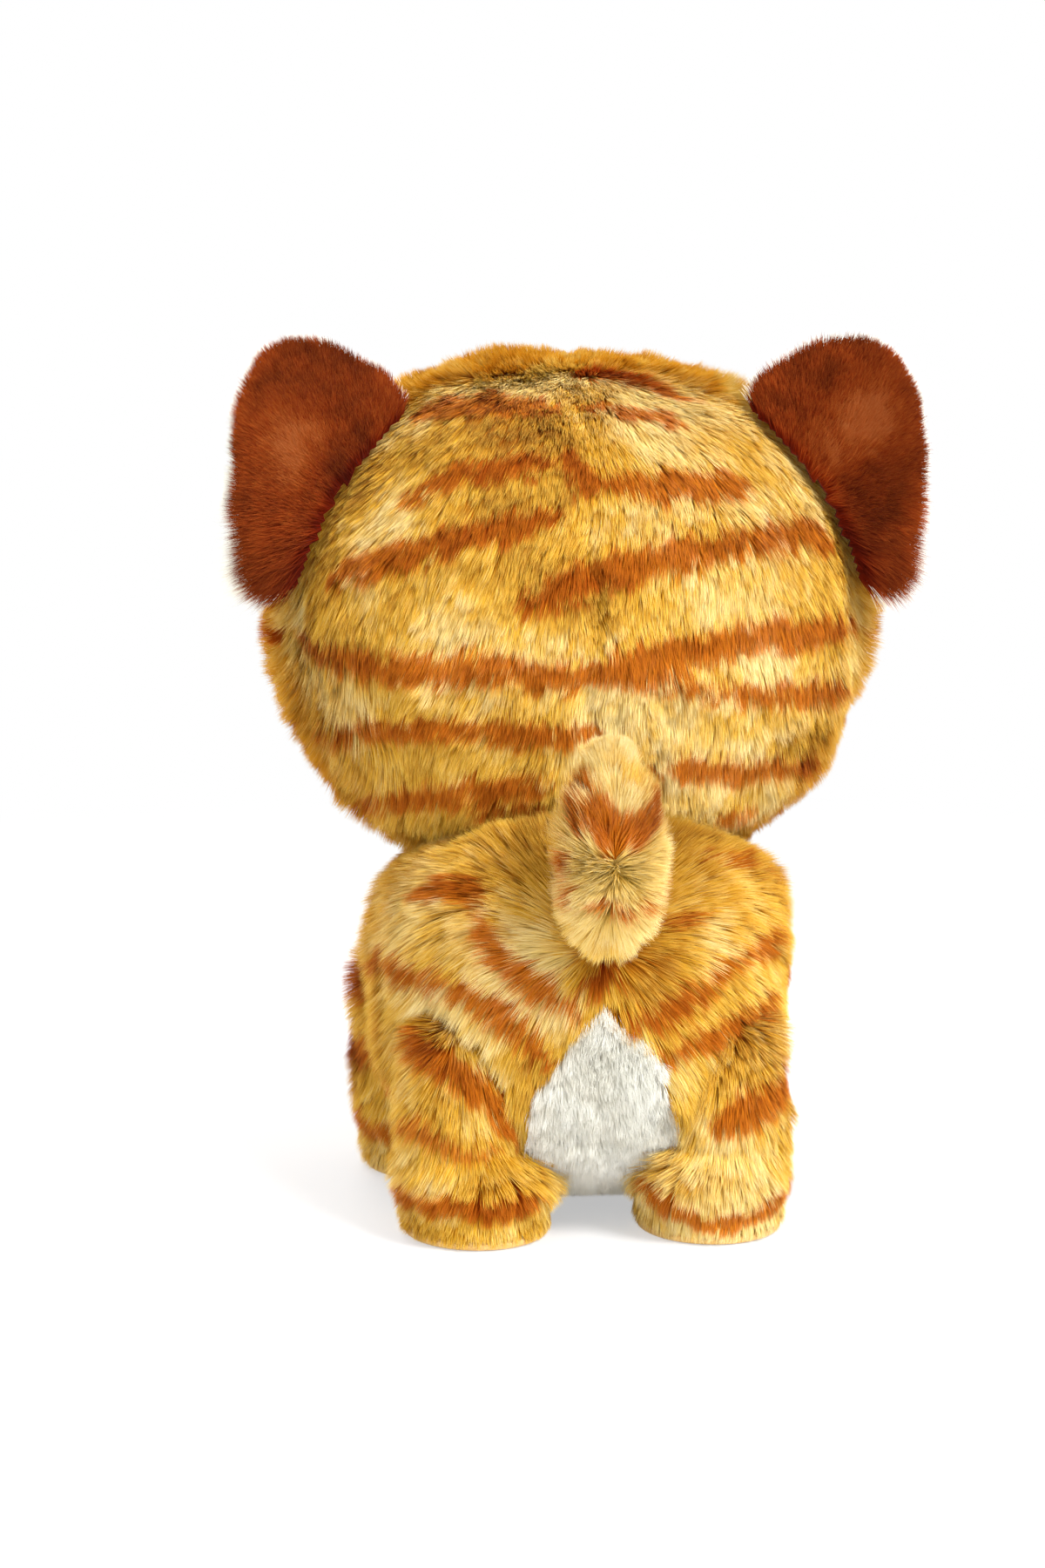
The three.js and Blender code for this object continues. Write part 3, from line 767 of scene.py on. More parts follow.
def disc_of_cells(cells: int) -> tuple[Array, Array, Faces]:
    """Even cells that fill a disc.

    Args:
        cells: How many lie across it.

    Returns:
        Shares of the way out from its middle, shares of the way round, and the corners of each cell.
    """
    grid, faces = grid_of_cells(cells, cells, False)
    x, y = (2 * grid[:, :2] - 1).T
    wide = np.abs(x) >= np.abs(y)
    out = np.maximum(np.abs(x), np.abs(y))
    slope = np.where(wide, y / np.where(np.abs(x) > 1e-9, x, 1), x / np.where(np.abs(y) > 1e-9, y, 1))
    turn = np.where(wide, slope + np.where(x < 0, 4, 0), 2 - slope + np.where(y < 0, 4, 0)) / 8
    return out, turn % 1.0, faces


def facing(points: Array, faces: Faces, ways: Array | None = None) -> Faces:
    """Turns all faces over if most of them look inwards.

    Args:
        points: The corners' places.
        faces: The corners of each face.
        ways: The outward way, or none for away from the points' middle.

    Returns:
        The faces, the right way round.
    """
    middle, normal = face_figures(points, faces)
    outward = middle - points.mean(axis=0) if ways is None else ways
    turned = np.sum(normal * outward) < 0
    return [face[::-1] for face in faces] if turned else list(faces)


def add_attribute(mesh: bpy.types.Mesh, key: str, values: Array) -> None:
    """Stores one value to each corner of a mesh under a name."""
    mesh.attributes.new(key, "FLOAT", "POINT").data.foreach_set("value", values.astype(np.float32))


def solid_piece(name: str, points: Array, faces: Faces, material: Material,
                **values: Array) -> Piece:
    """Makes a smooth piece from corners and faces, and closes its open ends.

    Args:
        name: The object's name.
        points: The corners' places.
        faces: The corners of each face.
        material: Its material.
        **values: Attributes, with one value to each corner.

    Returns:
        The new object.
    """
    mesh = bpy.data.meshes.new(name)
    mesh.from_pydata(points.tolist(), [], list(faces))
    for key, numbers in values.items():
        add_attribute(mesh, key, numbers)
    bm = bmesh.new()
    bm.from_mesh(mesh)
    bmesh.ops.holes_fill(bm, edges=[edge for edge in bm.edges if edge.is_boundary], sides=0)
    bmesh.ops.recalc_face_normals(bm, faces=bm.faces[:])
    for face in bm.faces:
        face.smooth = True
    bm.to_mesh(mesh)
    bm.free()
    mesh.materials.append(material)
    piece = bpy.data.objects.new(name, mesh)
    bpy.context.scene.collection.objects.link(piece)
    return piece


def lathe(profile: Sequence[tuple[float, float]], around: int, point: Array, way: Array
          ) -> tuple[Array, Faces, Array]:
    """Turns a profile round an axis.

    Args:
        profile: Radii and heights along the axis.
        around: How many corners each ring has.
        point: The axis's start.
        way: The axis's direction.

    Returns:
        The corners' places, the faces, and each corner's radius.
    """
    side = unit(np.cross(way, [0.0, 0.0, 1.0]))
    above = np.cross(side, way)
    angle = np.arange(around) * 2 * math.pi / around
    ring = np.cos(angle)[:, None] * side + np.sin(angle)[:, None] * above
    points = np.concatenate([point + ring * radius + way * height for radius, height in profile])
    return points, ring_faces(len(profile), around), np.repeat([radius for radius, _ in profile], around)


def ring_faces(rings: int, around: int) -> Faces:
    """The faces that join rings of corners.

    Args:
        rings: How many rings there are.
        around: How many corners each has.

    Returns:
        The corners of each face.
    """
    return [
        (ring * around + step, ring * around + (step + 1) % around,
         (ring + 1) * around + (step + 1) % around, (ring + 1) * around + step)
        for ring in range(rings - 1) for step in range(around)
    ]


def twisted_thread(points: Array, radius: float, around: int = 14,
                   pitch: float = 2.4 * MM) -> tuple[Array, Faces]:
    """A thread of two twisted plies.

    Args:
        points: Places along it.
        radius: Its radius.
        around: How many corners each ring has.
        pitch: The length of a whole twist.

    Returns:
        The corners' places and the faces.
    """
    forward = unit(np.gradient(points, axis=0))
    side = unit(np.cross(forward, [0.0, 1.0, 0.0]))
    above = np.cross(side, forward)
    along = np.concatenate([[0], np.cumsum(np.linalg.norm(np.diff(points, axis=0), axis=1))])
    angle = np.arange(around) * 2 * math.pi / around
    ply = 0.78 + 0.22 * np.abs(np.cos(angle[None, :] - along[:, None] * 2 * math.pi / pitch))
    ring = np.cos(angle)[None, :, None] * side[:, None] + np.sin(angle)[None, :, None] * above[:, None]
    places = points[:, None] + ring * (radius * ply)[..., None]
    return places.reshape(-1, 3), ring_faces(len(points), around)


def trimmed(points: Array, faces: Faces, keep: Array) -> tuple[Array, Faces]:
    """Keeps some of a mesh's faces, and the corners that they use.

    Args:
        points: The corners' places.
        faces: The corners of each face.
        keep: Whether each face is kept.

    Returns:
        The corners and faces that are left.
    """
    kept = [face for face, stays in zip(faces, keep) if stays]
    used = np.unique([corner for face in kept for corner in face])
    new = np.full(len(points), -1)
    new[used] = np.arange(len(used))
    return points[used], [tuple(int(new[corner]) for corner in face) for face in kept]


def cut_at_planes(points: Array, faces: Faces, planes: Sequence[Plane]) -> tuple[Array, Faces]:
    """Cuts a mesh with planes, and keeps what lies on the side that each plane's direction points to.

    Args:
        points: The corners' places.
        faces: The corners of each face.
        planes: A point and a direction for each plane.

    Returns:
        The corners' places and the faces that are left.
    """
    bm = bmesh.new()
    verts = [bm.verts.new(point) for point in points]
    for face in faces:
        bm.faces.new([verts[corner] for corner in face])
    for point, way in planes:
        bmesh.ops.bisect_plane(bm, geom=bm.verts[:] + bm.edges[:] + bm.faces[:], dist=0.05 * MM,
                               plane_co=point, plane_no=way, clear_inner=True)
    return mesh_parts(bm)


def cell_edges(faces: Faces) -> tuple[Array, Array, Array]:
    """The edges of cells, one cell after the other.

    Args:
        faces: The corners of each cell.

    Returns:
        Each edge's cell, the corner that it starts from, and the corner that it leads to.
    """
    owner = np.repeat(np.arange(len(faces)), [len(face) for face in faces])
    starts = itertools.chain.from_iterable(faces)
    ends = itertools.chain.from_iterable(face[1:] + face[:1] for face in faces)
    return owner, np.fromiter(starts, dtype=int), np.fromiter(ends, dtype=int)


def face_figures(points: Array, faces: Faces) -> tuple[Array, Array]:
    """The middles and normals of faces.

    Args:
        points: The corners' places.
        faces: The corners of each face.

    Returns:
        One middle and one normal to each face.
    """
    owner, corners, following = cell_edges(faces)
    middle, normal = np.zeros((2, len(faces), 3))
    np.add.at(middle, owner, points[corners])
    middle /= np.bincount(owner)[:, None]
    np.add.at(normal, owner, np.cross(points[corners] - middle[owner], points[following] - middle[owner]))
    return middle, unit(normal)


class Finder:
    """Finds the nearest of many places.

    Args:
        places: The places.
        numbers: The numbers of those that count.
    """

    def __init__(self, places: Array, numbers: Sequence[int]) -> None:
        """Sorts the places into a tree."""
        self.tree = kdtree.KDTree(len(numbers))
        for number in numbers:
            self.tree.insert(places[number], int(number))
        self.tree.balance()

    def nearest(self, points: Array) -> Array:
        """The number of the nearest place to each point."""
        return np.array([self.tree.find(point)[1] for point in points])


class PileBuilder:
    """Grows a coat of pile on a sheet, and makes the mesh object.

    Each cell is a fan of triangles round its middle, each of which is divided into smaller ones, and one
    strand stands on each of those. A strand is a narrow blade that tapers to a point.

    Args:
        sheet: The sheet.
        coat: The coat.
    """

    def __init__(self, sheet: Sheet, coat: Coat) -> None:
        """Divides the sheet's cells into fans of triangles."""
        self.sheet = sheet
        self.coat = coat
        self.random = np.random.default_rng(coat.seed)
        middles, normals = face_figures(sheet.outer, sheet.faces)
        owner, corners, following = cell_edges(sheet.faces)
        corner_normals = np.zeros_like(sheet.outer)
        np.add.at(corner_normals, corners, normals[owner])
        self.corner_normals = unit(corner_normals)
        # The fan's triangles, as places, normals and places in the flat layout
        self.fan = np.stack([sheet.outer[corners], sheet.outer[following], middles[owner]], axis=1)
        self.fan_normals = np.stack(
            [self.corner_normals[corners], self.corner_normals[following], normals[owner]], axis=1)
        self.flat = sheet.chart(sheet.outer)
        flat_middles = sheet.chart(middles)
        self.fan_flat = np.stack([self.flat[corners], self.flat[following], flat_middles[owner]], axis=1)
        if sheet.wraps:
            most = self.fan_flat[:, :, 0].max(axis=1, keepdims=True)
            self.fan_flat[:, :, 0] += np.where(most - self.fan_flat[:, :, 0] > 0.5, 1.0, 0.0)

    def plant(self) -> None:
        """Chooses the strands' roots, one in each small triangle."""
        count = self.coat.strands_deep
        small = []
        for row in range(count):
            for column in range(count - row):
                a, b, c = (column, row), (column + 1, row), (column, row + 1)
                small.append((a, b, c))
                if column + row < count - 1:
                    small.append(((column + 1, row + 1), c, b))
        corners = np.array(small, dtype=float) / count
        shares = np.concatenate([corners, 1 - corners.sum(axis=2, keepdims=True)], axis=2)
        self.blade_flat = np.einsum("sck,fkd->fscd", shares, self.fan_flat).reshape(-1, 3, 2)
        spots = self.random.dirichlet((2.0, 2.0, 2.0), (len(self.fan), len(shares)))
        inner = np.einsum("fsc,sck->fsk", spots, shares)
        self.roots = np.einsum("fsk,fkd->fsd", inner, self.fan).reshape(-1, 3)
        self.root_normals = unit(np.einsum("fsk,fkd->fsd", inner, self.fan_normals).reshape(-1, 3))

    def strands(self, roots: Array, normals: Array, strays: Array) -> Array:
        """The way and length of strands.

        Args:
            roots: Their roots.
            normals: The sheet's normals there.
            strays: How far each strays from the nap, as vectors from -1 to 1.

        Returns:
            One vector to each root.
        """
        coat = self.coat
        nap = coat.nap(roots)
        for amount, size, seed in WANDERS:
            nap = nap + amount * swirl(roots, size, seed)
        nap = nap - normals * np.sum(nap * normals, axis=1, keepdims=True)
        steady = np.clip(np.linalg.norm(nap, axis=1), 0, 1)
        uneven = lattice_noise(roots, UNEVEN_SIZE, coat.seed)
        length = coat.length * (1 + UNEVENNESS * uneven + UNEVENNESS * strays[:, 0])
        if coat.share:
            length = length * coat.share(roots)
        if self.sheet.seams:
            away = smooth(self.sheet.seams(roots), 0, SEAM_DIP)
            length = length * (SEAM_LENGTH + (1 - SEAM_LENGTH) * away)
        lean = coat.lean(roots) if callable(coat.lean) else coat.lean
        lean = np.radians(lean + SWAY * lattice_noise(roots, SWAY_SIZE, coat.seed + 3)) * steady
        leaning = normals * np.cos(lean)[:, None] + unit(nap) * np.sin(lean)[:, None]
        return unit(leaning + coat.scatter * strays) * length[:, None]

    def grow(self) -> None:
        """Works out where the strands end, drawn together into tufts."""
        coat, roots = self.coat, self.roots
        strays = self.random.uniform(-1, 1, (len(roots), 3))
        strand = self.strands(roots, self.root_normals, strays)
        ends = roots + strand
        chosen = np.flatnonzero(self.random.random(len(ends)) < self.tuft_share())
        nearest = Finder(roots, chosen).nearest(roots)
        pull = coat.clump * self.random.uniform(0.3, 1.0, len(ends))[:, None]
        self.tips = ends + (ends[nearest] - ends) * pull
        self.tips[:, 2] = np.maximum(self.tips[:, 2], FLOOR_GAP)
        self.tuft_tone = self.random.random(len(ends))[nearest] - 0.5
        dyed = 0.6 + 0.35 * self.tuft_tone + self.random.uniform(-0.12, 0.12, len(ends))
        self.seen = roots + dyed[:, None] * strand

    def tuft_share(self) -> float:
        """The share of the strands that stand in the middle of a tuft."""
        doubled = np.cross(self.fan[:, 1] - self.fan[:, 0], self.fan[:, 2] - self.fan[:, 0])
        return np.linalg.norm(doubled, axis=1).sum() / 2 / self.coat.tuft ** 2 / len(self.roots)

    def blades(self) -> Array:
        """The strands' blades.

        Returns:
            Two root corners and a tip to each strand.
        """
        strand = self.tips - self.roots
        along = unit(strand)
        side = unit(np.cross(self.root_normals, along))
        above = np.cross(along, side)
        roll = np.radians(self.coat.roll) * self.random.uniform(-1, 1, len(strand))[:, None]
        width = self.coat.width * self.random.uniform(0.7, 1.3, len(strand))[:, None] / 2
        across = (side * np.cos(roll) + above * np.sin(roll)) * width
        return np.stack([self.roots - across, self.roots + across, self.tips], axis=1)

    def build(self, name: str, material: Material) -> Piece:
        """Makes the furred piece.

        Args:
            name: The object's name.
            material: Its material.

        Returns:
            The new object.
        """
        self.plant()
        self.grow()
        sheet = self.sheet
        count = len(sheet.outer)
        blades = self.blades()
        verts = np.concatenate([sheet.outer, sheet.inner, blades.reshape(-1, 3)])
        pile = (2 * count + np.arange(len(blades) * 3)).reshape(-1, 3).tolist()
        back = [tuple(corner + count for corner in reversed(face)) for face in sheet.faces]
        rim = [(end, start, start + count, end + count) for start, end in sheet.edges()]
        mesh = bpy.data.meshes.new(name)
        mesh.from_pydata(verts.tolist(), [], pile + list(sheet.faces) + back + rim)
        self._paint(mesh)
        piece = bpy.data.objects.new(name, mesh)
        bpy.context.scene.collection.objects.link(piece)
        mesh.materials.append(material)
        return piece

    def _paint(self, mesh: bpy.types.Mesh) -> None:
        """Stores the colour attributes and the flat layout.

        Args:
            mesh: The new mesh.
        """
        sheet, coat = self.sheet, self.coat
        count, strands = len(sheet.outer), len(self.roots)
        base = sheet.outer + 0.6 * self.strands(sheet.outer, self.corner_normals, np.zeros((count, 3)))
        seen = np.concatenate([base, self.seen])
        tone = np.full(len(seen), 0.5)
        for amount, size, seed in MARBLING:
            tone += amount * lattice_noise(seen, size, seed)
        tone[count:] += TUFT_CONTRAST * self.tuft_tone
        if coat.pale:
            tone += coat.pale(seen)
        strand = np.concatenate([np.full(count, 0.5), self.random.random(strands)])
        for key, values in (("stripe", coat.stripe_at(seen)), ("tone", tone), ("strand", strand)):
            every = np.concatenate([values[:count], values[:count], np.repeat(values[count:], 3)])
            add_attribute(mesh, key, every)
        add_attribute(mesh, "rise", np.concatenate([np.zeros(2 * count), np.tile([0.0, 0.0, 1.0], strands)]))
        layout = np.zeros((len(mesh.loops), 2))
        pile = self.blade_flat.reshape(-1, 2)
        layout[:len(pile)] = pile
        layout[:len(pile), 1] = PILE_STRIP[0] + PILE_STRIP[1] * pile[:, 1]
        loops = np.zeros(len(mesh.loops), dtype=np.int32)
        mesh.loops.foreach_get("vertex_index", loops)
        cloth = loops[len(pile):]
        layout[len(pile):] = self.flat[cloth % count]
        start, height, step = CLOTH_STRIP
        layout[len(pile):, 1] = start + height * layout[len(pile):, 1] + (cloth >= count) * step
        if sheet.wraps:
            layout[:, 0] *= WRAPPED_WIDTH
        uv = mesh.uv_layers.new(name="OFBake")
        uv.data.foreach_set("uv", layout.astype(np.float32).ravel())


class Shade:
    """A value in a material's node tree. Sums and products of it add the nodes that work them out.

    Args:
        tree: The node tree.
        socket: The output that holds the value.
    """

    def __init__(self, tree: bpy.types.NodeTree, socket: bpy.types.NodeSocket) -> None:
        """Keeps the value's output."""
        self.tree = tree
        self.socket = socket

    def node(self, kind: str, *inputs: "Shade | float | Sequence[float]", output: int | str = 0,
             **settings: object) -> "Shade":
        """Adds a node, sets it and joins it up.

        Args:
            kind: The node's type.
            *inputs: What goes into its inputs, in order. None leaves an input as it is.
            output: The output to use.
            **settings: The node's own settings.

        Returns:
            The new node's output.
        """
        made = self.tree.nodes.new(kind)
        for name, value in settings.items():
            setattr(made, name, value)
        for socket, value in zip(made.inputs, inputs):
            if isinstance(value, Shade):
                self.tree.links.new(value.socket, socket)
            elif value is not None:
                socket.default_value = value
        return Shade(self.tree, made.outputs[output])

    def _math(self, operation: str, first: "Shade | float", second: "Shade | float") -> "Shade":
        """Adds a Math node."""
        return self.node("ShaderNodeMath", first, second, operation=operation)

    def __add__(self, other: "Shade | float") -> "Shade":
        """Adds a value."""
        return self._math("ADD", self, other)

    def __radd__(self, other: float) -> "Shade":
        """Adds this to a number."""
        return self._math("ADD", other, self)

    def __sub__(self, other: "Shade | float") -> "Shade":
        """Takes a value off."""
        return self._math("SUBTRACT", self, other)

    def __rsub__(self, other: float) -> "Shade":
        """Takes this off a number."""
        return self._math("SUBTRACT", other, self)

    def __mul__(self, other: "Shade | float") -> "Shade":
        """Multiplies by a value."""
        return self._math("MULTIPLY", self, other)

    def __rmul__(self, other: float) -> "Shade":
        """Multiplies a number by this."""
        return self._math("MULTIPLY", other, self)

    def __pow__(self, other: "Shade | float") -> "Shade":
        """Raises this to a power."""
        return self._math("POWER", self, other)

    def at_most(self, limit: float) -> "Shade":
        """The smaller of the value and a limit."""
        return self._math("MINIMUM", self, limit)

    def between(self, low: float, high: float) -> "Shade":
        """Eases from 0 at low to 1 at high."""
        return self.node("ShaderNodeMapRange", self, low, high, 0.0, 1.0, interpolation_type="SMOOTHSTEP")

    def mix(self, low: "Shade | Colour", high: "Shade | Colour") -> "Shade":
        """Mixes two colours, with this value as the share of the second.

        Args:
            low: The colour where this is 0.
            high: The colour where this is 1.

        Returns:
            The mixed colour.
        """
        made = self.node("ShaderNodeMix", output=2, data_type="RGBA")
        sockets = made.socket.node.inputs
        for socket, value in ((sockets[0], self), (sockets[6], low), (sockets[7], high)):
            if isinstance(value, Shade):
                self.tree.links.new(value.socket, socket)
            else:
                socket.default_value = (*value, 1.0)
        return made

    def multiplied(self, colour: "Shade") -> "Shade":
        """This colour multiplied by another one."""
        return self.node("ShaderNodeVectorMath", self, colour, operation="MULTIPLY")


@dataclass(frozen=True)
class Finish:
    """Numbers of a surface that are the same all over it.

    Args:
        roughness: How matt it is.
        sheen: How strongly fine fibres catch light from the side.
        specular: How strongly it reflects.
        coat: How strong a clear gloss lies over it.
    """

    roughness: float = 0.6
    sheen: float = 0.0
    specular: float = 0.5
    coat: float = 0.0


class Surface:
    """A new material, and the inputs that its nodes start from.

    Args:
        name: The material's name.
        finish: Its plain numbers.
    """

    def __init__(self, name: str, finish: Finish) -> None:
        """Makes the material and sets its plain numbers."""
        self.material = bpy.data.materials.new(name)
        self.material.use_nodes = True
        self.tree = self.material.node_tree
        self.shader = self.tree.nodes["Principled BSDF"]
        self.shader.inputs["Roughness"].default_value = finish.roughness
        self.shader.inputs["Sheen Weight"].default_value = finish.sheen
        self.shader.inputs["Sheen Roughness"].default_value = 0.45
        self.shader.inputs["Specular IOR Level"].default_value = finish.specular
        self.shader.inputs["Coat Weight"].default_value = finish.coat
        self.shader.inputs["Coat Roughness"].default_value = 0.05
        self.start = Shade(self.tree, self.shader.outputs[0])
        self.place = self.start.node("ShaderNodeTexCoord", output="Object")

    def attribute(self, name: str) -> Shade:
        """A value that the mesh stores under a name."""
        return self.start.node("ShaderNodeAttribute", output="Fac", attribute_name=name)

    def noise(self, size: float, detail: float = 2.0) -> Shade:
        """Noise from 0 to 1, with lumps of a size and an amount of finer detail."""
        return self.start.node("ShaderNodeTexNoise", self.place, None, 1 / size, detail)

    def waves(self, size: float, axis: str) -> Shade:
        """Even waves from 0 to 1, of a length, along an axis."""
        return self.start.node("ShaderNodeTexWave", self.place, 1 / size, bands_direction=axis)

    def finish(self, colour: Shade, height: Shade | None = None, depth: float = 0.3 * MM) -> Material:
        """Joins the colour and relief to the shader.

        Args:
            colour: The colour.
            height: The relief, from 0 to 1, if it has any.
            depth: How deep the relief is.

        Returns:
            The finished material.
        """
        self.tree.links.new(colour.socket, self.shader.inputs["Base Color"])
        if height:
            bump = self.start.node("ShaderNodeBump", 1.0, depth, output=0)
            self.tree.links.new(height.socket, bump.socket.node.inputs["Height"])
            self.tree.links.new(bump.socket, self.shader.inputs["Normal"])
        return self.material


@dataclass(frozen=True)
class PileColours:
    """The colours of a furred fabric.

    Args:
        shade: The darker patches between the stripes.
        ground: Between the stripes.
        pale: The paler patches between the stripes.
        band: The stripes.
        deep: The stripes' darkest parts.
        tip: What the strands' tips fade to.
        bleached: The same in the paler patches.
        root: What the colour is multiplied by at the strands' roots and on the cloth: painted shade deep in
            the pile.
        fade: How far the tips fade.
    """

    shade: Colour
    ground: Colour
    pale: Colour
    band: Colour
    deep: Colour
    tip: Colour
    bleached: Colour
    root: Colour
    fade: float


# The root colours below are painted shade deep in the pile.
TABBY = PileColours(
    shade=(0.52, 0.245, 0.012),
    ground=(0.81, 0.45, 0.019),
    pale=(0.97, 0.75, 0.24),
    band=(0.74, 0.235, 0.008),
    deep=(0.50, 0.12, 0.004),
    tip=(1.0, 0.78, 0.22),
    bleached=(1.0, 0.95, 0.78),
    root=(0.60, 0.28, 0.06),
    fade=0.48,
)
BROWN = PileColours(
    shade=(0.14, 0.013, 0.001),
    ground=(0.29, 0.029, 0.0015),
    pale=(0.48, 0.10, 0.012),
    band=(0.30, 0.06, 0.01),
    deep=(0.2, 0.03, 0.006),
    # The brown tips are partly the fibres' own paler tips and partly painted glints.
    tip=(0.72, 0.22, 0.04),
    bleached=(0.84, 0.38, 0.14),
    root=(0.45, 0.25, 0.15),
    fade=0.4,
)
WHITE = PileColours(
    shade=(0.88, 0.86, 0.78),
    ground=(0.94, 0.93, 0.85),
    pale=(0.99, 0.98, 0.92),
    band=(0.9, 0.88, 0.84),
    deep=(0.85, 0.8, 0.75),
    tip=(1.0, 1.0, 0.95),
    bleached=(1.0, 1.0, 0.96),
    root=(0.90, 0.87, 0.80),
    fade=0.5,
)


def pile_material(name: str, colours: PileColours, finish: Finish) -> Material:
    """Makes the material of a furred fabric.

    Args:
        name: The material's name.
        colours: Its colours.
        finish: Its plain numbers.

    Returns:
        The material.
    """
    surface = Surface(name, finish)
    stripe, tone = surface.attribute("stripe"), surface.attribute("tone")
    strand, rise = surface.attribute("strand"), surface.attribute("rise")
    place = tone + (strand - 0.5) * 0.5
    dull = place.between(-0.35, 0.45).mix(colours.shade, colours.ground)
    ground = place.between(0.4, 1.15).mix(dull, colours.pale)
    depth = (stripe * 1.1 - tone * 0.4 + (strand - 0.5) * 0.5).between(0.35, 1.0)
    band = depth.mix(colours.band, colours.deep)
    colour = (stripe + (strand - 0.5) * 0.3).between(0.2, 0.65).mix(ground, band)
    # How far the tips fade paler, strand by strand; on the brown pile this is partly painted glints.
    light = rise ** 3.0 * (0.3 + strand * 0.9) * (1.0 - stripe * 0.9) * colours.fade
    faded = light.mix(colour, tone.between(0.55, 1.25).mix(colours.tip, colours.bleached))
    # Painted shade: darker towards the strands' roots and on the cloth, less so in the paler patches.
    painted_root_shade = (rise ** 0.8 + (tone - 0.4) * 0.65).between(0.0, 1.0).mix(colours.root, (1.0, 1.0, 1.0))
    return surface.finish(faded.multiplied(painted_root_shade))


def speckled_material(name: str, first: Colour, second: Colour, finish: Finish, grain: float,
                      depth: float) -> Material:
    """Makes a material with a fine grain in its colour and relief.

    Args:
        name: The material's name.
        first: One colour.
        second: The other colour.
        finish: Its plain numbers.
        grain: The size of the grain.
        depth: How deep the grain's relief is.

    Returns:
        The material.
    """
    surface = Surface(name, finish)
    grainy = surface.noise(grain, 4.0)
    return surface.finish(grainy.between(0.3, 0.7).mix(first, second), grainy, depth)


def woven_material(name: str, colour: Colour, finish: Finish, thread: float) -> Material:
    """Makes a plain weave.

    Args:
        name: The material's name.
        colour: The threads' colour.
        finish: Its plain numbers.
        thread: The distance between threads.

    Returns:
        The material.
    """
    surface = Surface(name, finish)
    weave = surface.waves(thread, "X") * surface.waves(thread, "Y") + surface.waves(thread, "Z") * 0.4
    # Random mottling, and painted shade that darkens the weave's hollows.
    mottling_and_hollow_shade = surface.noise(6 * MM) * 0.25 + weave * 0.5
    darker = tuple(part * 0.7 for part in colour)
    return surface.finish(mottling_and_hollow_shade.between(0.1, 0.7).mix(darker, colour), weave, 0.15 * MM)


def eye_material(iris: Colour, pupil: Colour) -> Material:
    """Makes a glossy eye with a round pupil, from the attribute that says how far out each place is.

    Args:
        iris: The iris's colour.
        pupil: The pupil's colour.

    Returns:
        The material.
    """
    surface = Surface("eye_gloss", Finish(roughness=0.12, specular=0.25, coat=0.25))
    out = surface.attribute("outward")
    streaks = surface.noise(0.7 * MM, 3.0)
    ring = (out + (streaks - 0.5) * 0.1).between(0.5, 0.95).mix(iris, tuple(part * 0.35 for part in iris))
    return surface.finish(out.between(0.52, 0.6).mix(pupil, ring))


@dataclass
class Finishes:
    """All the materials of the cat."""

    tabby: Material
    brown: Material
    white: Material
    lining: Material
    filling: Material
    sole: Material
    bag: Material
    eye: Material
    nose: Material
    thread: Material
    washer: Material


def make_finishes() -> Finishes:
    """Makes the materials.

    Returns:
        The materials.
    """
    plush = Finish(roughness=0.85, sheen=0.03, specular=0.06)
    return Finishes(
        tabby=pile_material("tabby_pile", TABBY, plush),
        brown=pile_material("brown_pile", BROWN, Finish(roughness=0.8, sheen=0.04, specular=0.06)),
        white=pile_material("white_pile", WHITE, plush),
        lining=pile_material("white_lining_pile", WHITE, plush),
        filling=speckled_material("fibre_filling", (0.86, 0.86, 0.85), (0.96, 0.96, 0.95),
                                  Finish(roughness=0.9, sheen=0.3), grain=1.5 * MM, depth=0.6 * MM),
        sole=speckled_material("sole_suede", (0.72, 0.42, 0.12), (0.88, 0.58, 0.2),
                               Finish(roughness=0.85, sheen=0.3), grain=0.6 * MM, depth=0.2 * MM),
        bag=woven_material("pellet_bag_weave", (0.83, 0.81, 0.76), Finish(roughness=0.85), thread=0.6 * MM),
        eye=eye_material(iris=(0.55, 0.28, 0.04), pupil=(0.004, 0.003, 0.002)),
        nose=speckled_material("nose_satin", (0.55, 0.20, 0.16), (0.62, 0.25, 0.2),
                               Finish(roughness=0.38, coat=0.2), grain=0.5 * MM, depth=0.05 * MM),
        thread=woven_material("mouth_thread", (0.26, 0.1, 0.04), Finish(roughness=0.7, sheen=0.2),
                              thread=0.5 * MM),
        washer=speckled_material("washer_plastic", (0.86, 0.86, 0.84), (0.9, 0.9, 0.88),
                                 Finish(roughness=0.42), grain=0.8 * MM, depth=0.03 * MM),
    )


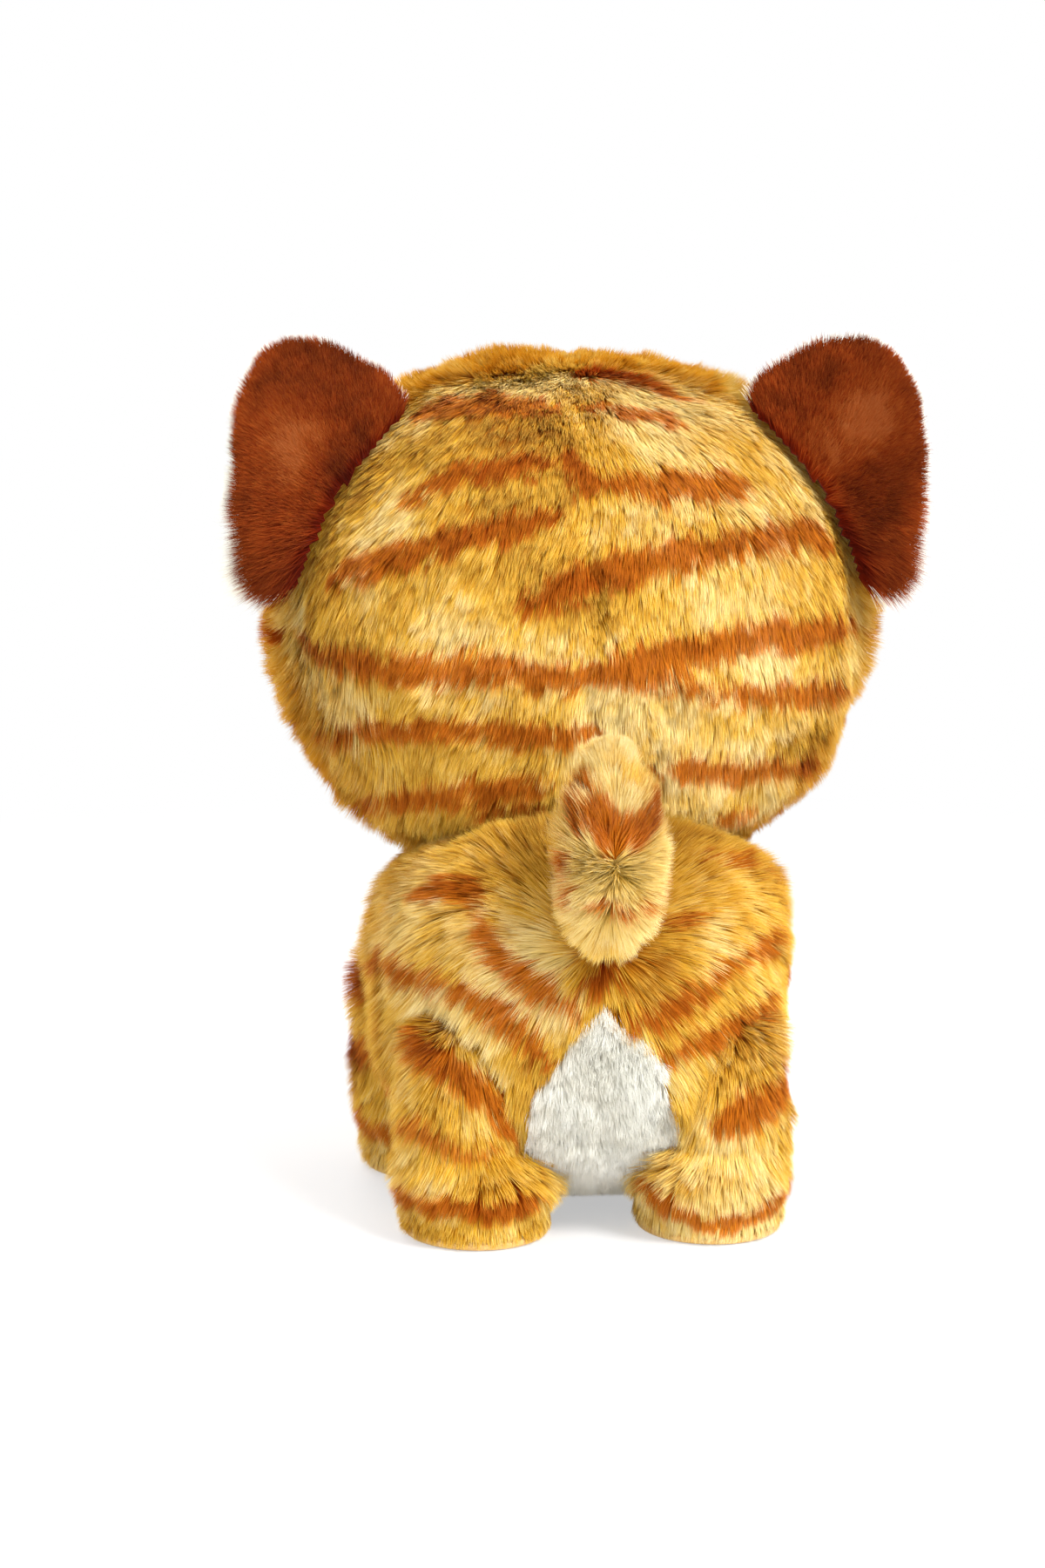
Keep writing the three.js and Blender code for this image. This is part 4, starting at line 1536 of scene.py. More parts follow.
@dataclass(frozen=True)
class Anatomy:
    """The forms that the cat is made of.

    Args:
        neck: The neck's pivot.
        tail_root: The tail's pivot.
        head: The head.
        torso: The torso.
        rear_leg: The left rear leg.
        front_leg: The left front leg.
        tail: The tail.
        ear: The left ear.
        muzzle: The muzzle.
        nose: The nose.
    """

    neck: Array
    tail_root: Array
    head: StuffedForm
    torso: StuffedForm
    rear_leg: LegForm
    front_leg: LegForm
    tail: TailForm
    ear: EarForm
    muzzle: StuffedForm
    nose: StuffedForm

    @classmethod
    def from_frame(cls, frame: dict) -> "Anatomy":
        """Builds the forms round the frame's joints.


        Returns:
            The forms.
        """
        pivots = {joint["name"]: np.array(joint["pos_m"]) for joint in frame["joints"]}
        neck, tail_root = pivots["neck_turn"], pivots["tail_wag"]
        rear_hip, front_hip = pivots["leg_rear_left_swing"], pivots["leg_front_left_swing"]
        head = StuffedForm(neck + mm(0, 0, 56), mm(70.5, 57, 59), plan=2.1, upper=2.15, lower=2.75)
        torso = StuffedForm(np.array([0, neck[1], 0]) + mm(0, 20, 50), mm(48, 51.5, 46),
                            plan=2.5, upper=2.7, lower=2.5, taper=2 * MM)
        rear_leg = LegForm(hip=rear_hip, hip_radius=17.5 * MM,
                           calf=rear_hip + mm(1.5, 0, -16), calf_half=mm(15.2, 16.5),
                           foot=rear_hip + mm(-2, -1, -29), foot_half=mm(19, 22.5))
        front_leg = LegForm(hip=front_hip, hip_radius=20 * MM,
                            calf=front_hip + mm(1, -1, -17), calf_half=mm(17, 17),
                            foot=front_hip + mm(-1.5, -4, -30), foot_half=mm(18.8, 22))
        bend = mm([0, -1, 4.5], [0, 6.5, 5.5], [0, 12.5, 9], [0, 16.5, 14.5], [0, 18.5, 21], [0, 19, 28],
                  [0, 18.5, 34])
        halves = mm([4.6, 8], [5.6, 8.5], [7.4, 9.4], [9.8, 10.4], [11.4, 11.2], [10.6, 10.6], [7.8, 7.8])
        face = head.surface([0, -57, -18])[0]
        muzzle = StuffedForm(np.array([0, face[1], head.middle[2]]) + mm(0, 4.5, -18), mm(20, 15, 13.5),
                             plan=2.3, upper=2.2, lower=2.2)
        nose = StuffedForm(muzzle.surface([0, -15, 6.5])[0], mm(6, 4, 4.3), plan=2, upper=3, lower=1.7)
        return cls(neck, tail_root, head, torso, rear_leg, front_leg, TailForm(tail_root + bend, halves),
                   cls.ear_on(head), muzzle, nose)

    @staticmethod
    def ear_on(head: StuffedForm) -> EarForm:
        """Places the left ear on the head.

        Args:
            head: The head.

        Returns:
            The ear.
        """
        top, low = head.surface([[38, 17, 49], [65, 20, 3.5]])
        length = float(np.linalg.norm(low - top))
        down = (low - top) / length
        out = np.array([0.9, -0.05, 0.42])
        out = unit(out - down * (out @ down))
        back = unit(np.cross(down, out))
        outline = mm([0, 0], [-2, 13], [0.5, 25], [7.5, 32.5], [17, 33], [28, 29], [38, 22], [47, 13],
                     [54, 1], [42, -8], [27, -10], [12, -7])
        drawn_length = 55 * MM
        scale = length / drawn_length
        return EarForm(top, down, out, back if back[1] > 0 else -back, length, outline * scale,
                       middle=np.array([0.43 * drawn_length, 13 * MM]) * scale, cup=5 * MM)

    @property
    def side_seam(self) -> float:
        """Where the head's back panels meet the face panels, along y."""
        return self.head.middle[1] + 20 * MM

    def legs(self) -> list[tuple[str, Side, LegForm]]:
        """The four legs.

        Returns:
            Each leg's name, side and form.
        """
        return [
            (which, side, form if side is Side.LEFT else form.mirrored())
            for which, form in (("rear", self.rear_leg), ("front", self.front_leg))
            for side in Side
        ]

    def in_leg(self, points: Array, room: float) -> Array:
        """Says which places lie in a leg, or within some room of one."""
        return np.min([leg.outside(points) for _, _, leg in self.legs()], axis=0) < room

    def eye_socket(self, side: Side) -> tuple[Array, Array]:
        """Where an eye sits.

        Args:
            side: Which eye.

        Returns:
            Its place on the head's surface, and the way that it looks.
        """
        way = np.array([25, -57 * 0.88, -6])
        flip = np.array([side.value, 1, 1])
        return self.head.surface(way)[0] * flip, self.head.normal(way) * flip


@dataclass
class Assembly:
    """A part of the cat whose pieces are built together.

    Args:
        anatomy: The cat's forms.
        finishes: Its materials.
    """

    anatomy: Anatomy
    finishes: Finishes

    def dress(self, piece: Piece, body: str, node: str, slot: str, fill: float | None = None) -> None:
        """Puts a piece in the place of a CAD node.

        Args:
            piece: The piece.
            body: The body that it rides on.
            node: The node that it stands for.
            slot: The record's material slot. It is not used.
            fill: How full it is, if it is padded. It is not used.
        """
        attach(piece, body)
        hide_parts(node)
        log.info("%s: %d faces", piece.name, len(piece.data.polygons))

    def cells_along(self, length: float) -> int:
        """How many cells of the cloth fit along a length."""
        return max(4, round(length / CELL))

    def form_sheet(self, form: StuffedForm, planes: Sequence[Plane], keep: Field, chart: Field,
                   seams: Field | None = None, room: float | Field = PILE_ROOM, coarse: float = 1.0) -> Sheet:
        """A sheet on a stuffed form, lumpy as filling makes it.

        Args:
            form: The form.
            planes: Points and directions of planes that it is cut at.
            keep: Says which places the sheet covers.
            chart: Its flat layout.
            seams: How far a place is from a seam.
            room: The depth of the pile's room, or what gives it at each place.
            coarse: How much larger than usual the cells are.

        Returns:
            The sheet.
        """
        ways, faces = ball_of_cells(self.cells_along(form.half.mean() * math.pi / 2 / coarse))

        def depth(places: Array) -> Array | float:
            """The depth of the pile's room at places."""
            return room(places) if callable(room) else room

        points, faces = cut_at_planes(form.surface(ways, depth(form.surface(ways))), faces, planes)
        points, faces = trimmed(points, faces, keep(face_figures(points, faces)[0]))
        ways = points - form.middle
        ways[:, 0] /= 1 - form.taper / form.half[0] * ways[:, 1] / form.half[1]
        inner = form.surface(ways, depth(points) + BACKING)
        lumps = unit(points - form.middle) * (LUMP_HEIGHT * lattice_noise(points, LUMP_SIZE, 41))[:, None]
        return Sheet(points + lumps, inner + lumps, faces, chart, seams=seams)

    def fill_room(self, name: str, middle: Array, inside: Field, reach: float, fineness: int) -> Piece:
        """Makes a lump of fibre filling that fills a room, as seen from a place in it.

        Args:
            name: The object's name.
            middle: The place.
            inside: Says which places are in the room.
            reach: How far out to look.
            fineness: How many cells lie along a quarter of the way round.

        Returns:
            The new object.
        """
        steps, rounds, evening = 120, 3, 0.6
        ways, faces = ball_of_cells(fineness)
        ways = unit(ways)
        far = np.full(len(ways), reach)
        for step in np.linspace(0.02, 1, steps) * reach:
            outside = ~inside(middle + ways * step)
            far = np.where(outside & (far == reach), step - reach / steps, far)
        near = far.copy()
        corners = np.array([(face[k], face[(k + 1) % 4]) for face in faces for k in range(4)])
        for _ in range(rounds):
            total, count = np.zeros((2, len(ways)))
            np.add.at(total, corners[:, 0], near[corners[:, 1]])
            np.add.at(count, corners[:, 0], 1)
            near = np.minimum(far, (1 - evening) * near + evening * total / count)
        near -= 0.5 * MM * (1 + lattice_noise(middle + ways * near[:, None], 6 * MM, 61))
        return solid_piece(name, middle + ways * near[:, None], faces, self.finishes.filling)


def quarter_chart(middle: Array, way: float) -> Field:
    """A flat layout of a quarter of a ball.

    Args:
        middle: The ball's middle.
        way: Whether the quarter lies behind the middle, 1, or in front, -1.

    Returns:
        What gives the layout.
    """
    def chart(points: Array) -> Array:
        """The places in the layout: round from the middle seam, and down from the top."""
        local = unit(points - middle)
        turn = np.arctan2(np.abs(local[:, 0]), way * local[:, 1]) / (math.pi / 2)
        tilt = np.arccos(np.clip(local[:, 2], -1, 1)) / math.pi
        return np.clip(np.stack([turn, tilt], axis=1), 0, 1)
    return chart


@dataclass
class HeadPanels(Assembly):
    """The head's two back panels and two face panels.

    Args:
        pile: The pile's length.
        face_cells: How much larger than the back's the face's cells are.
        neck_hole: The radius of the opening for the neck.
        lean_down: How far the pile leans below the crown, in degrees.
        lean_crown: How much further it leans on the crown.
        short_face: How much of its length the pile loses in front.
        short_crown: How much it loses on the crown.
        short_ears: How much it loses at the ears' roots.
        thin_face: How much of its depth the pile's room loses in front.
        thin_eyes: How much it loses beside the eyes.
    """

    pile: float = 8.4 * MM
    face_cells: float = 1.15
    neck_hole: float = 15 * MM
    lean_down: float = 62.0
    lean_crown: float = 11.0
    short_face: float = 0.62
    short_crown: float = 0.15
    short_ears: float = 0.55
    thin_face: float = 0.66
    thin_eyes: float = 0.4

    def local(self, points: Array) -> Array:
        """Places as seen from the head's middle."""
        return points - self.anatomy.head.middle

    def back_nap(self, points: Array) -> Array:
        """The way that the pile lies behind: outwards at the crown, and down below it.

        Args:
            points: Places, one to a row.

        Returns:
            One vector to each place.
        """
        crown = self.crown(points)
        outward = (0.25 + 0.2 * crown) * np.tanh(self.local(points)[:, 0] / (16 * MM))
        return np.stack([outward, 0.55 + 0.25 * crown, -1 + 0.1 * crown], axis=1)

    def face_nap(self, points: Array) -> Array:
        """The way that the pile lies in front: away from the nose, and down at the side seams.

        Args:
            points: Places, one to a row.

        Returns:
            One vector to each place.
        """
        nose = self.anatomy.head.middle + mm(0, -62, -14)
        behind = smooth(points[:, 1], self.anatomy.side_seam - 34 * MM, self.anatomy.side_seam)[:, None]
        return (1 - behind) * unit(points - nose) + behind * self.back_nap(points)

    def frontness(self, points: Array) -> Array:
        """How far in front places lie, from 0 to 1."""
        return smooth(-self.local(points)[:, 1], 12 * MM, 42 * MM)

    def side_fringe(self, points: Array) -> Array:
        """How near places in front lie to the side seams, from 0 to 1."""
        return smooth(points[:, 1], self.anatomy.side_seam - 22 * MM, self.anatomy.side_seam - 4 * MM)

    def crown(self, points: Array) -> Array:
        """How near places lie to the crown, from 0 to 1."""
        return smooth(self.local(points)[:, 2], 24 * MM, 50 * MM)

    def lean(self, points: Array) -> Array:
        """How far the pile leans: flattest on the crown."""
        return self.lean_down + self.lean_crown * self.crown(points)

    def pale_back(self, points: Array) -> Array:
        """Paler patches, the darker crown on the left, the paler side seam at the crown, and painted light
        that makes the head's right side paler.

        Args:
            points: Places, one to a row.

        Returns:
            How much paler each place is.
        """
        beside_seam = np.exp(-((points[:, 1] - self.anatomy.side_seam) / (6 * MM)) ** 2)
        # Painted light: the head's right side is painted paler, as lit from there.
        right = smooth(-self.local(points)[:, 0], -30 * MM, 40 * MM)
        spots = self.anatomy.head.spotted(points, HEAD_SPOTS)
        return 0.15 * right + 0.45 * self.crown(points) * beside_seam + spots

    def pale_front(self, points: Array) -> Array:
        """The face's pale cheeks, chin and side fringe.

        Args:
            points: Places, one to a row.

        Returns:
            How much paler each place is.
        """
        x, _, z = self.local(points).T
        cheek = np.exp(-((np.abs(x) - 30 * MM) / (22 * MM)) ** 2 - ((z + 24 * MM) / (16 * MM)) ** 2)
        fringe = self.side_fringe(points) * np.exp(-((z + 4 * MM) / (24 * MM)) ** 2)
        front = 0.5 * cheek * self.frontness(points) + 0.6 * fringe
        return front * (1 - self.crown(points)) + self.crown(points) * self.pale_back(points)

    def build(self) -> None:
        """Builds the four panels."""
        head, seam = self.anatomy.head, self.anatomy.side_seam
        parts = (("head_back", 1.0, 1.0, self.back_nap, self.back_share, self.pale_back),
                 ("face", -1.0, self.face_cells, self.face_nap, self.face_share, self.pale_front))
        for side, (part, way, coarse, nap, share, pale) in itertools.product(Side, parts):
            side_wall = (np.array([0, seam + way * SEAM_GAP / 2, 0]), np.array([0.0, way, 0.0]))
            sheet = self.form_sheet(
                head, [side.wall, side_wall], self.above_neck,
                quarter_chart(np.array([0, seam, head.middle[2]]), way), self.seams, self.room, coarse)
            coat = Coat(self.pile, nap, lean=self.lean, share=share, pale=pale, seed=2 + side.value)
            coat.lay_stripes(HEAD_STRIPES + FACE_STRIPES, head, self.room)
            piece = PileBuilder(sheet, coat).build(f"{part}_{side.word}_coat", self.finishes.tabby)
            self.dress(piece, "head", f"{part}_{side.word}_panel", "tabby_plush", 0.8)

    def above_neck(self, points: Array) -> Array:
        """Says which places aren't over the neck's opening."""
        across = np.linalg.norm(points[:, :2] - self.anatomy.neck[:2], axis=1)
        return (self.local(points)[:, 2] >= 0) | (across >= self.neck_hole)

    def seams(self, points: Array) -> Array:
        """How far places lie from the seams, of which the side seams are sewn less tightly."""
        return np.minimum(np.abs(points[:, 0]), np.abs(points[:, 1] - self.anatomy.side_seam) + 2.6 * MM)

    def room(self, points: Array) -> Array:
        """The depth of the pile's room: deeper low down, and shallower in front and at the eyes.

        Args:
            points: Places, one to a row.

        Returns:
            One depth to each place.
        """
        x, y, z = self.local(points).T
        side = smooth(np.abs(x), 25 * MM, 60 * MM)
        low = smooth(-z, 5 * MM, 35 * MM) * smooth(np.hypot(x, y), 34 * MM, 54 * MM)
        deep = PILE_ROOM + MM * (0.5 + 0.8 * side + 2.2 * low - 1.0 * self.crown(points))
        eyes = [self.anatomy.eye_socket(side)[0] for side in Side]
        beside_eye = np.max([nearness(points, eye, 11 * MM) for eye in eyes], axis=0)
        return deep * (1 - self.thin_face * self.frontness(points)) * (1 - self.thin_eyes * beside_eye)

    def face_share(self, points: Array) -> Array:
        """The share of the pile's length: short round the eyes and the nose."""
        return self.back_share(points) * (1 - self.short_face * self.frontness(points))

    def back_share(self, points: Array) -> Array:
        """The share of the pile's length: pressed short on the crown and at the ears' roots.

        Args:
            points: Places, one to a row.

        Returns:
            One share to each place.
        """
        ear = self.anatomy.ear
        local = np.stack([np.abs(points[:, 0]), points[:, 1], points[:, 2]], axis=1) - ear.top
        along = np.clip(local @ ear.down, 0, ear.length)[:, None] * ear.down
        at_root = nearness(local, along, 8 * MM)
        return (1 - self.short_crown * self.crown(points)) * (1 - self.short_ears * at_root)


@dataclass
class Ears(Assembly):
    """The two ears, each with a brown back and a white lining.

    Args:
        breadth: How wide an ear is, for the number of its cells.
        trim: How far the cloth ends inside the outline, as a share of the way out.
        swell: How thick each layer's cloth is in its middle.
        bite: How far the layers reach into the head.
        width: How wide a strand is at its root.
        lowest: How far along the base the pile starts to grow longer, and where it is longest.
    """

    breadth: float = 46 * MM
    trim: float = 2.2 / 24
    swell: float = 1.5 * MM
    bite: float = 1.6 * MM
    width: float = 0.26 * MM
    lowest: tuple[float, float] = (32 * MM, 52 * MM)

    def build(self) -> None:
        """Builds the four layers."""
        ear, head = self.anatomy.ear, self.anatomy.head
        out, turn, faces = disc_of_cells(self.cells_along(self.breadth))
        spot = ear.middle + (ear.edge(turn) - ear.middle) * (out * (1 - self.trim))[:, None]
        rounded = (1 - out ** 3) ** 0.55
        for part, way in (("back", 1.0), ("lining", -1.0)):
            outer = ear.place(spot, way * (0.35 * MM + self.swell * rounded))
            inner = ear.place(spot, np.full(len(spot), way * 0.12 * MM))
            kept = head.outside(face_figures(outer, faces)[0]) > -self.bite
            outer, kept_faces = trimmed(outer, faces, kept)
            inner, _ = trimmed(inner, faces, kept)
            kept_faces = facing(outer, kept_faces, way * ear.back)
            for side in Side:
                turned = kept_faces if side is Side.LEFT else [face[::-1] for face in kept_faces]
                self.build_layer(part, side, outer * side.flip, inner * side.flip, turned)

    def build_layer(self, part: str, side: Side, outer: Array, inner: Array, faces: Faces) -> None:
        """Builds one layer of an ear.

        Args:
            part: Which layer, back or lining.
            side: Which ear.
            outer: The corners of its cloth.
            inner: The same on the cloth's back.
            faces: The corners of each cell.
        """
        ear, flip = self.anatomy.ear, side.flip
        root = ear.top + ear.down * ear.length / 2 - ear.out * 12 * MM

        def lowness(points: Array) -> Array:
            """How near places lie to the ear's low corner, from 0 to 1."""
            return smooth(ear.flat(points * flip)[:, 0], *self.lowest)

        def nap(points: Array) -> Array:
            """The way that the pile lies: away from the root, and down low on the ear."""
            out = unit(points * flip - root) + ear.down * lowness(points)[:, None]
            return out * flip + np.array([0, 0, 0.15])

        def chart(points: Array) -> Array:
            """The places in the ear's flat layout."""
            return np.clip((ear.flat(points * flip) + mm(6, 14)) / mm(68, 54), 0, 1)

        def glossy(points: Array) -> Array:
            """A painted highlight: the ear's back painted paler in its middle, as if lit there, over a tone a
            little darker all over.
            """
            # Painted highlight on the middle of the ear's back
            return 0.9 * nearness(ear.flat(points * flip), mm(20, 17), 9 * MM) - 0.25

        def share(points: Array) -> Array:
            """The share of the pile's length: longest at the low corner."""
            return 1 + ((2.3 if part == "back" else 2.5) - 1) * lowness(points)

        same = {"lean": 52, "share": share, "width": self.width, "strands_deep": 3, "seed": 40 + side.value}
        if part == "back":
            coat = Coat(4.4 * MM, nap, scatter=0.35, clump=0.15, tuft=1.8 * MM, pale=glossy, **same)
            material, slot = self.finishes.brown, "brown_plush"
        else:
            coat = Coat(5.6 * MM, nap, scatter=0.25, clump=0.35, tuft=2.0 * MM, **same)
            material, slot = self.finishes.lining, "white_plush"
        sheet = Sheet(outer, inner, faces, chart)
        piece = PileBuilder(sheet, coat).build(f"ear_{side.word}_{part}_coat", material)
        self.dress(piece, f"ear_{side.word}", f"ear_{side.word}_{part}", slot, 0.5)


@dataclass
class Face(Assembly):
    """The eyes, the muzzle, the nose and the mouth.

    Args:
        eye_radius: The eyes' radius.
        eye_dome: How high they stand.
        stem_radius: The radius of their stems.
        stem_length: How far their stems reach into the head.
        muzzle_pile: The length of the muzzle's pile.
        thread_radius: The radius of the mouth's thread.
        mouth_half: The mouth's half width, in millimetres.
        mouth_drop: How far the mouth lies under the nose, in millimetres.
    """

    eye_radius: float = 9.5 * MM
    eye_dome: float = 4.6 * MM
    stem_radius: float = 2 * MM
    stem_length: float = 8 * MM
    muzzle_pile: float = 4.4 * MM
    thread_radius: float = 0.7 * MM
    mouth_half: float = 8.0
    mouth_drop: float = 6.0

    def build(self) -> None:
        """Builds the face's pieces."""
        for side in Side:
            self.build_eye(side)
        self.build_muzzle()
        self.build_nose()
        self.build_mouth()

    def build_eye(self, side: Side) -> None:
        """Builds an eye, domed and with its stem, and gives its washer its material.

        Args:
            side: Which eye.
        """
        around, seat, rim_height = 56, 0.3 * MM, 0.9 * MM
        point, way = self.anatomy.eye_socket(side)
        rim = [(self.eye_radius * share, seat) for share in (0.3, 0.7, 0.94)]
        cap = [
            (self.eye_radius * math.cos(angle), rim_height + (self.eye_dome - 2 * seat) * math.sin(angle))
            for angle in (math.radians(degrees) for degrees in range(0, 90, 5))
        ]
        stem = [(0.4 * MM, -self.stem_length), (self.stem_radius - seat, -self.stem_length),
                (self.stem_radius, -self.stem_length + 0.4 * MM), (self.stem_radius, seat)]
        profile = [*stem, *rim, *cap, (0.15 * MM, seat + self.eye_dome)]
        points, faces, radii = lathe(profile, around, point, way)
        in_dome = np.repeat([height for _, height in profile], around) > 0.5 * MM
        outward = np.where(in_dome, radii / self.eye_radius, 1.0)
        piece = solid_piece(f"eye_{side.word}_gloss", points, faces, self.finishes.eye, outward=outward)
        self.dress(piece, "head", f"eye_{side.word}", "eye_plastic")
        for slot in bpy.data.objects[f"eye_{side.word}_washer"].material_slots:
            slot.material = self.finishes.washer

    def build_muzzle(self) -> None:
        """Builds the muzzle's short white pile."""
        muzzle, head = self.anatomy.muzzle, self.anatomy.head

        def nap(points: Array) -> Array:
            """The way that the pile lies: away from the nose, and down."""
            return unit(points - self.anatomy.nose.middle) + np.array([0, 0.2, -0.5])

        def chart(points: Array) -> Array:
            """The places in the layout, as seen from in front."""
            local = unit(points - muzzle.middle)
            return 0.5 + 0.49 * local[:, [0, 2]] / (1 + np.abs(local[:, 1:2])) * 1.4

        def seams(points: Array) -> Array:
            """How far places lie from the seam under the nose."""
            return np.abs(points[:, 0]) + np.clip(points[:, 2] - muzzle.middle[2], 0, None)

        def keep(points: Array) -> Array:
            """Says which places stand out of the face."""
            return head.outside(points) > -2.5 * MM

        sheet = self.form_sheet(muzzle, [], keep, chart, seams, room=2.4 * MM)
        coat = Coat(self.muzzle_pile, nap, lean=52, scatter=0.22, clump=0.35, tuft=2 * MM, seed=51)
        piece = PileBuilder(sheet, coat).build("muzzle_coat", self.finishes.white)
        self.dress(piece, "head", "muzzle", "white_plush", 0.7)

    def build_nose(self) -> None:
        """Builds the smooth nose."""
        ways, faces = ball_of_cells(14)
        piece = solid_piece("nose_satin", self.anatomy.nose.surface(ways), faces, self.finishes.nose)
        self.dress(piece, "head", "nose", "nose_plastic")

    def build_mouth(self) -> None:
        """Builds the mouth of twisted thread."""
        muzzle = self.anatomy.muzzle

        def on_muzzle(x: float, down: float) -> Array:
            """A place of the thread's middle, a little off the muzzle."""
            way = np.array([x, -15, 6.5 - 4.3 - down])
            return muzzle.surface(way)[0] + muzzle.normal(way) * (self.thread_radius + 0.3 * MM)

        def sag(share: float) -> float:
            """How far down the mouth lies, at a share of its half width."""
            return self.mouth_drop * (1 + 0.5 * math.sin(share * math.pi) - 0.35 * share)

        smile = [on_muzzle(self.mouth_half * share, sag(abs(share))) for share in np.linspace(-1, 1, 81)]
        line = [on_muzzle(0, self.mouth_drop * share) for share in np.linspace(0.12, 1.05, 24)]
        points, faces = twisted_thread(np.array(smile), self.thread_radius)
        more, more_faces = twisted_thread(np.array(line), self.thread_radius)
        faces = faces + [tuple(corner + len(points) for corner in face) for face in more_faces]
        piece = solid_piece("mouth_thread", np.concatenate([points, more]), faces, self.finishes.thread)
        self.dress(piece, "head", "mouth_stitch", "thread")


@dataclass
class Torso(Assembly):
    """The torso's two striped panels and the pale panel between the legs.

    Args:
        pile: The length of the striped pile.
        belly_pile: The length of the pale pile.
        belly_half: The pale panel's half width.
        belly_rise: How far it reaches up and down from its middle.
        belly_level: Its middle's height.
        under_legs: The share of the pile's length that is left under the legs' sleeves.
    """

    pile: float = 8.6 * MM
    belly_pile: float = 5.8 * MM
    belly_half: float = 16.5 * MM
    belly_rise: float = 31.5 * MM
    belly_level: float = 24 * MM
    under_legs: float = 0.35

    def nap(self, points: Array) -> Array:
        """The way that the pile lies: away from the tail, and down further off.

        Args:
            points: Places, one to a row.

        Returns:
            One vector to each place.
        """
        away = points - (self.anatomy.tail_root + mm(0, 6, -4))
        near = np.exp(-np.linalg.norm(away, axis=1) / (30 * MM))[:, None]
        return 1.7 * near * unit(away) + (1 - near) * np.array([0, 0.2, -1.0])

    def belly_edge(self, points: Array) -> Array:
        """How far outside the pale panel places lie, with an edge that wanders a little."""
        across, level = points[:, 0] / self.belly_half, (points[:, 2] - self.belly_level) / self.belly_rise
        return np.abs(across) + level ** 2 - 1 + 0.09 * lattice_noise(points, 9 * MM, 71)

    def open_places(self, points: Array) -> Array:
        """Says which places aren't under the head, the tail or a leg.

        Args:
            points: Places, one to a row.

        Returns:
            True or false for each place.
        """
        local = points - self.anatomy.tail_root
        in_tail = (np.hypot(local[:, 0] / 4.5, (local[:, 2] - 5 * MM) / 7.5) < MM) & (local[:, 1] > 0)
        under_head = self.anatomy.head.outside(points) < -2.5 * MM
        leg_cut = -MM * (3 + 2.2 * smooth(points[:, 2], 24 * MM, 44 * MM))
        return ~(under_head | in_tail | self.anatomy.in_leg(points, leg_cut))

    def seams(self, points: Array) -> Array:
        """How far places lie from the seams."""
        return np.minimum(np.abs(points[:, 0]), 16 * MM * np.abs(self.belly_edge(points)))

    def share(self, points: Array) -> Array:
        """The share of the pile's length: longest round the tail, and short where the head rests.

        Args:
            points: Places, one to a row.

        Returns:
            One share to each place.
        """
        around_tail = nearness(points, self.anatomy.tail_root, 30 * MM)
        under_head = smooth(self.anatomy.head.outside(points), -1 * MM, 7 * MM)
        return (1 + 0.08 * around_tail) * (0.4 + 0.6 * under_head) * self.clear_of_legs(points)

    def clear_of_legs(self, points: Array) -> Array:
        """The share of the pile's length that the legs leave, which is less under their sleeves."""
        return np.where(self.anatomy.in_leg(points, -2 * MM), self.under_legs, 1.0)

    def pale(self, points: Array) -> Array:
        """How much paler than the ground the panels are."""
        return self.anatomy.torso.spotted(points, TORSO_SPOTS) - 0.1

    def build(self) -> None:
        """Builds the three panels."""
        torso = self.anatomy.torso

        def half_chart(points: Array) -> Array:
            """The layout of a striped panel, as seen from its side."""
            way = unit(points - torso.middle)
            tilt = np.arccos(np.clip(np.abs(way[:, 0]), 0, 1)) / (math.pi / 2)
            turn = np.arctan2(way[:, 2], way[:, 1])
            return 0.5 + 0.49 * tilt[:, None] * np.stack([np.cos(turn), np.sin(turn)], axis=1)

        def belly_chart(points: Array) -> Array:
            """The layout of the pale panel: across, and along from the seat to the chest."""
            way = points - torso.middle
            turn = np.arctan2(way[:, 1], -way[:, 2]) / (2 * math.pi) + 0.5
            return np.stack([np.clip(points[:, 0] / (40 * MM) + 0.5, 0, 1), turn], axis=1)

        def striped(points: Array) -> Array:
            """Says which places the striped panels cover."""
            return self.open_places(points) & (self.belly_edge(points) > 0)

        def plain(points: Array) -> Array:
            """Says which places the pale panel covers."""
            return self.open_places(points) & (self.belly_edge(points) <= 0)

        def belly_nap(points: Array) -> Array:
            """The way that the pale pile lies: down."""
            return np.tile([0.0, 0.2, -0.8], (len(points), 1))

        for side in Side:
            sheet = self.form_sheet(torso, [side.wall], striped, half_chart, self.seams)
            coat = Coat(self.pile, self.nap, lean=62, share=self.share, pale=self.pale, seed=12 + side.value)
            coat.lay_stripes(TORSO_STRIPES, torso)
            piece = PileBuilder(sheet, coat).build(f"torso_{side.word}_coat", self.finishes.tabby)
            self.dress(piece, "torso", f"torso_{side.word}_panel", "tabby_plush", 0.8)
        sheet = self.form_sheet(torso, [], plain, belly_chart)
        coat = Coat(self.belly_pile, belly_nap, lean=46, scatter=0.35, share=self.clear_of_legs, clump=0.5,
                    tuft=2.0 * MM, strands_deep=3, width=0.24 * MM, seed=15)
        piece = PileBuilder(sheet, coat).build("belly_coat", self.finishes.white)
        self.dress(piece, "torso", "belly_panel", "white_plush", 0.7)


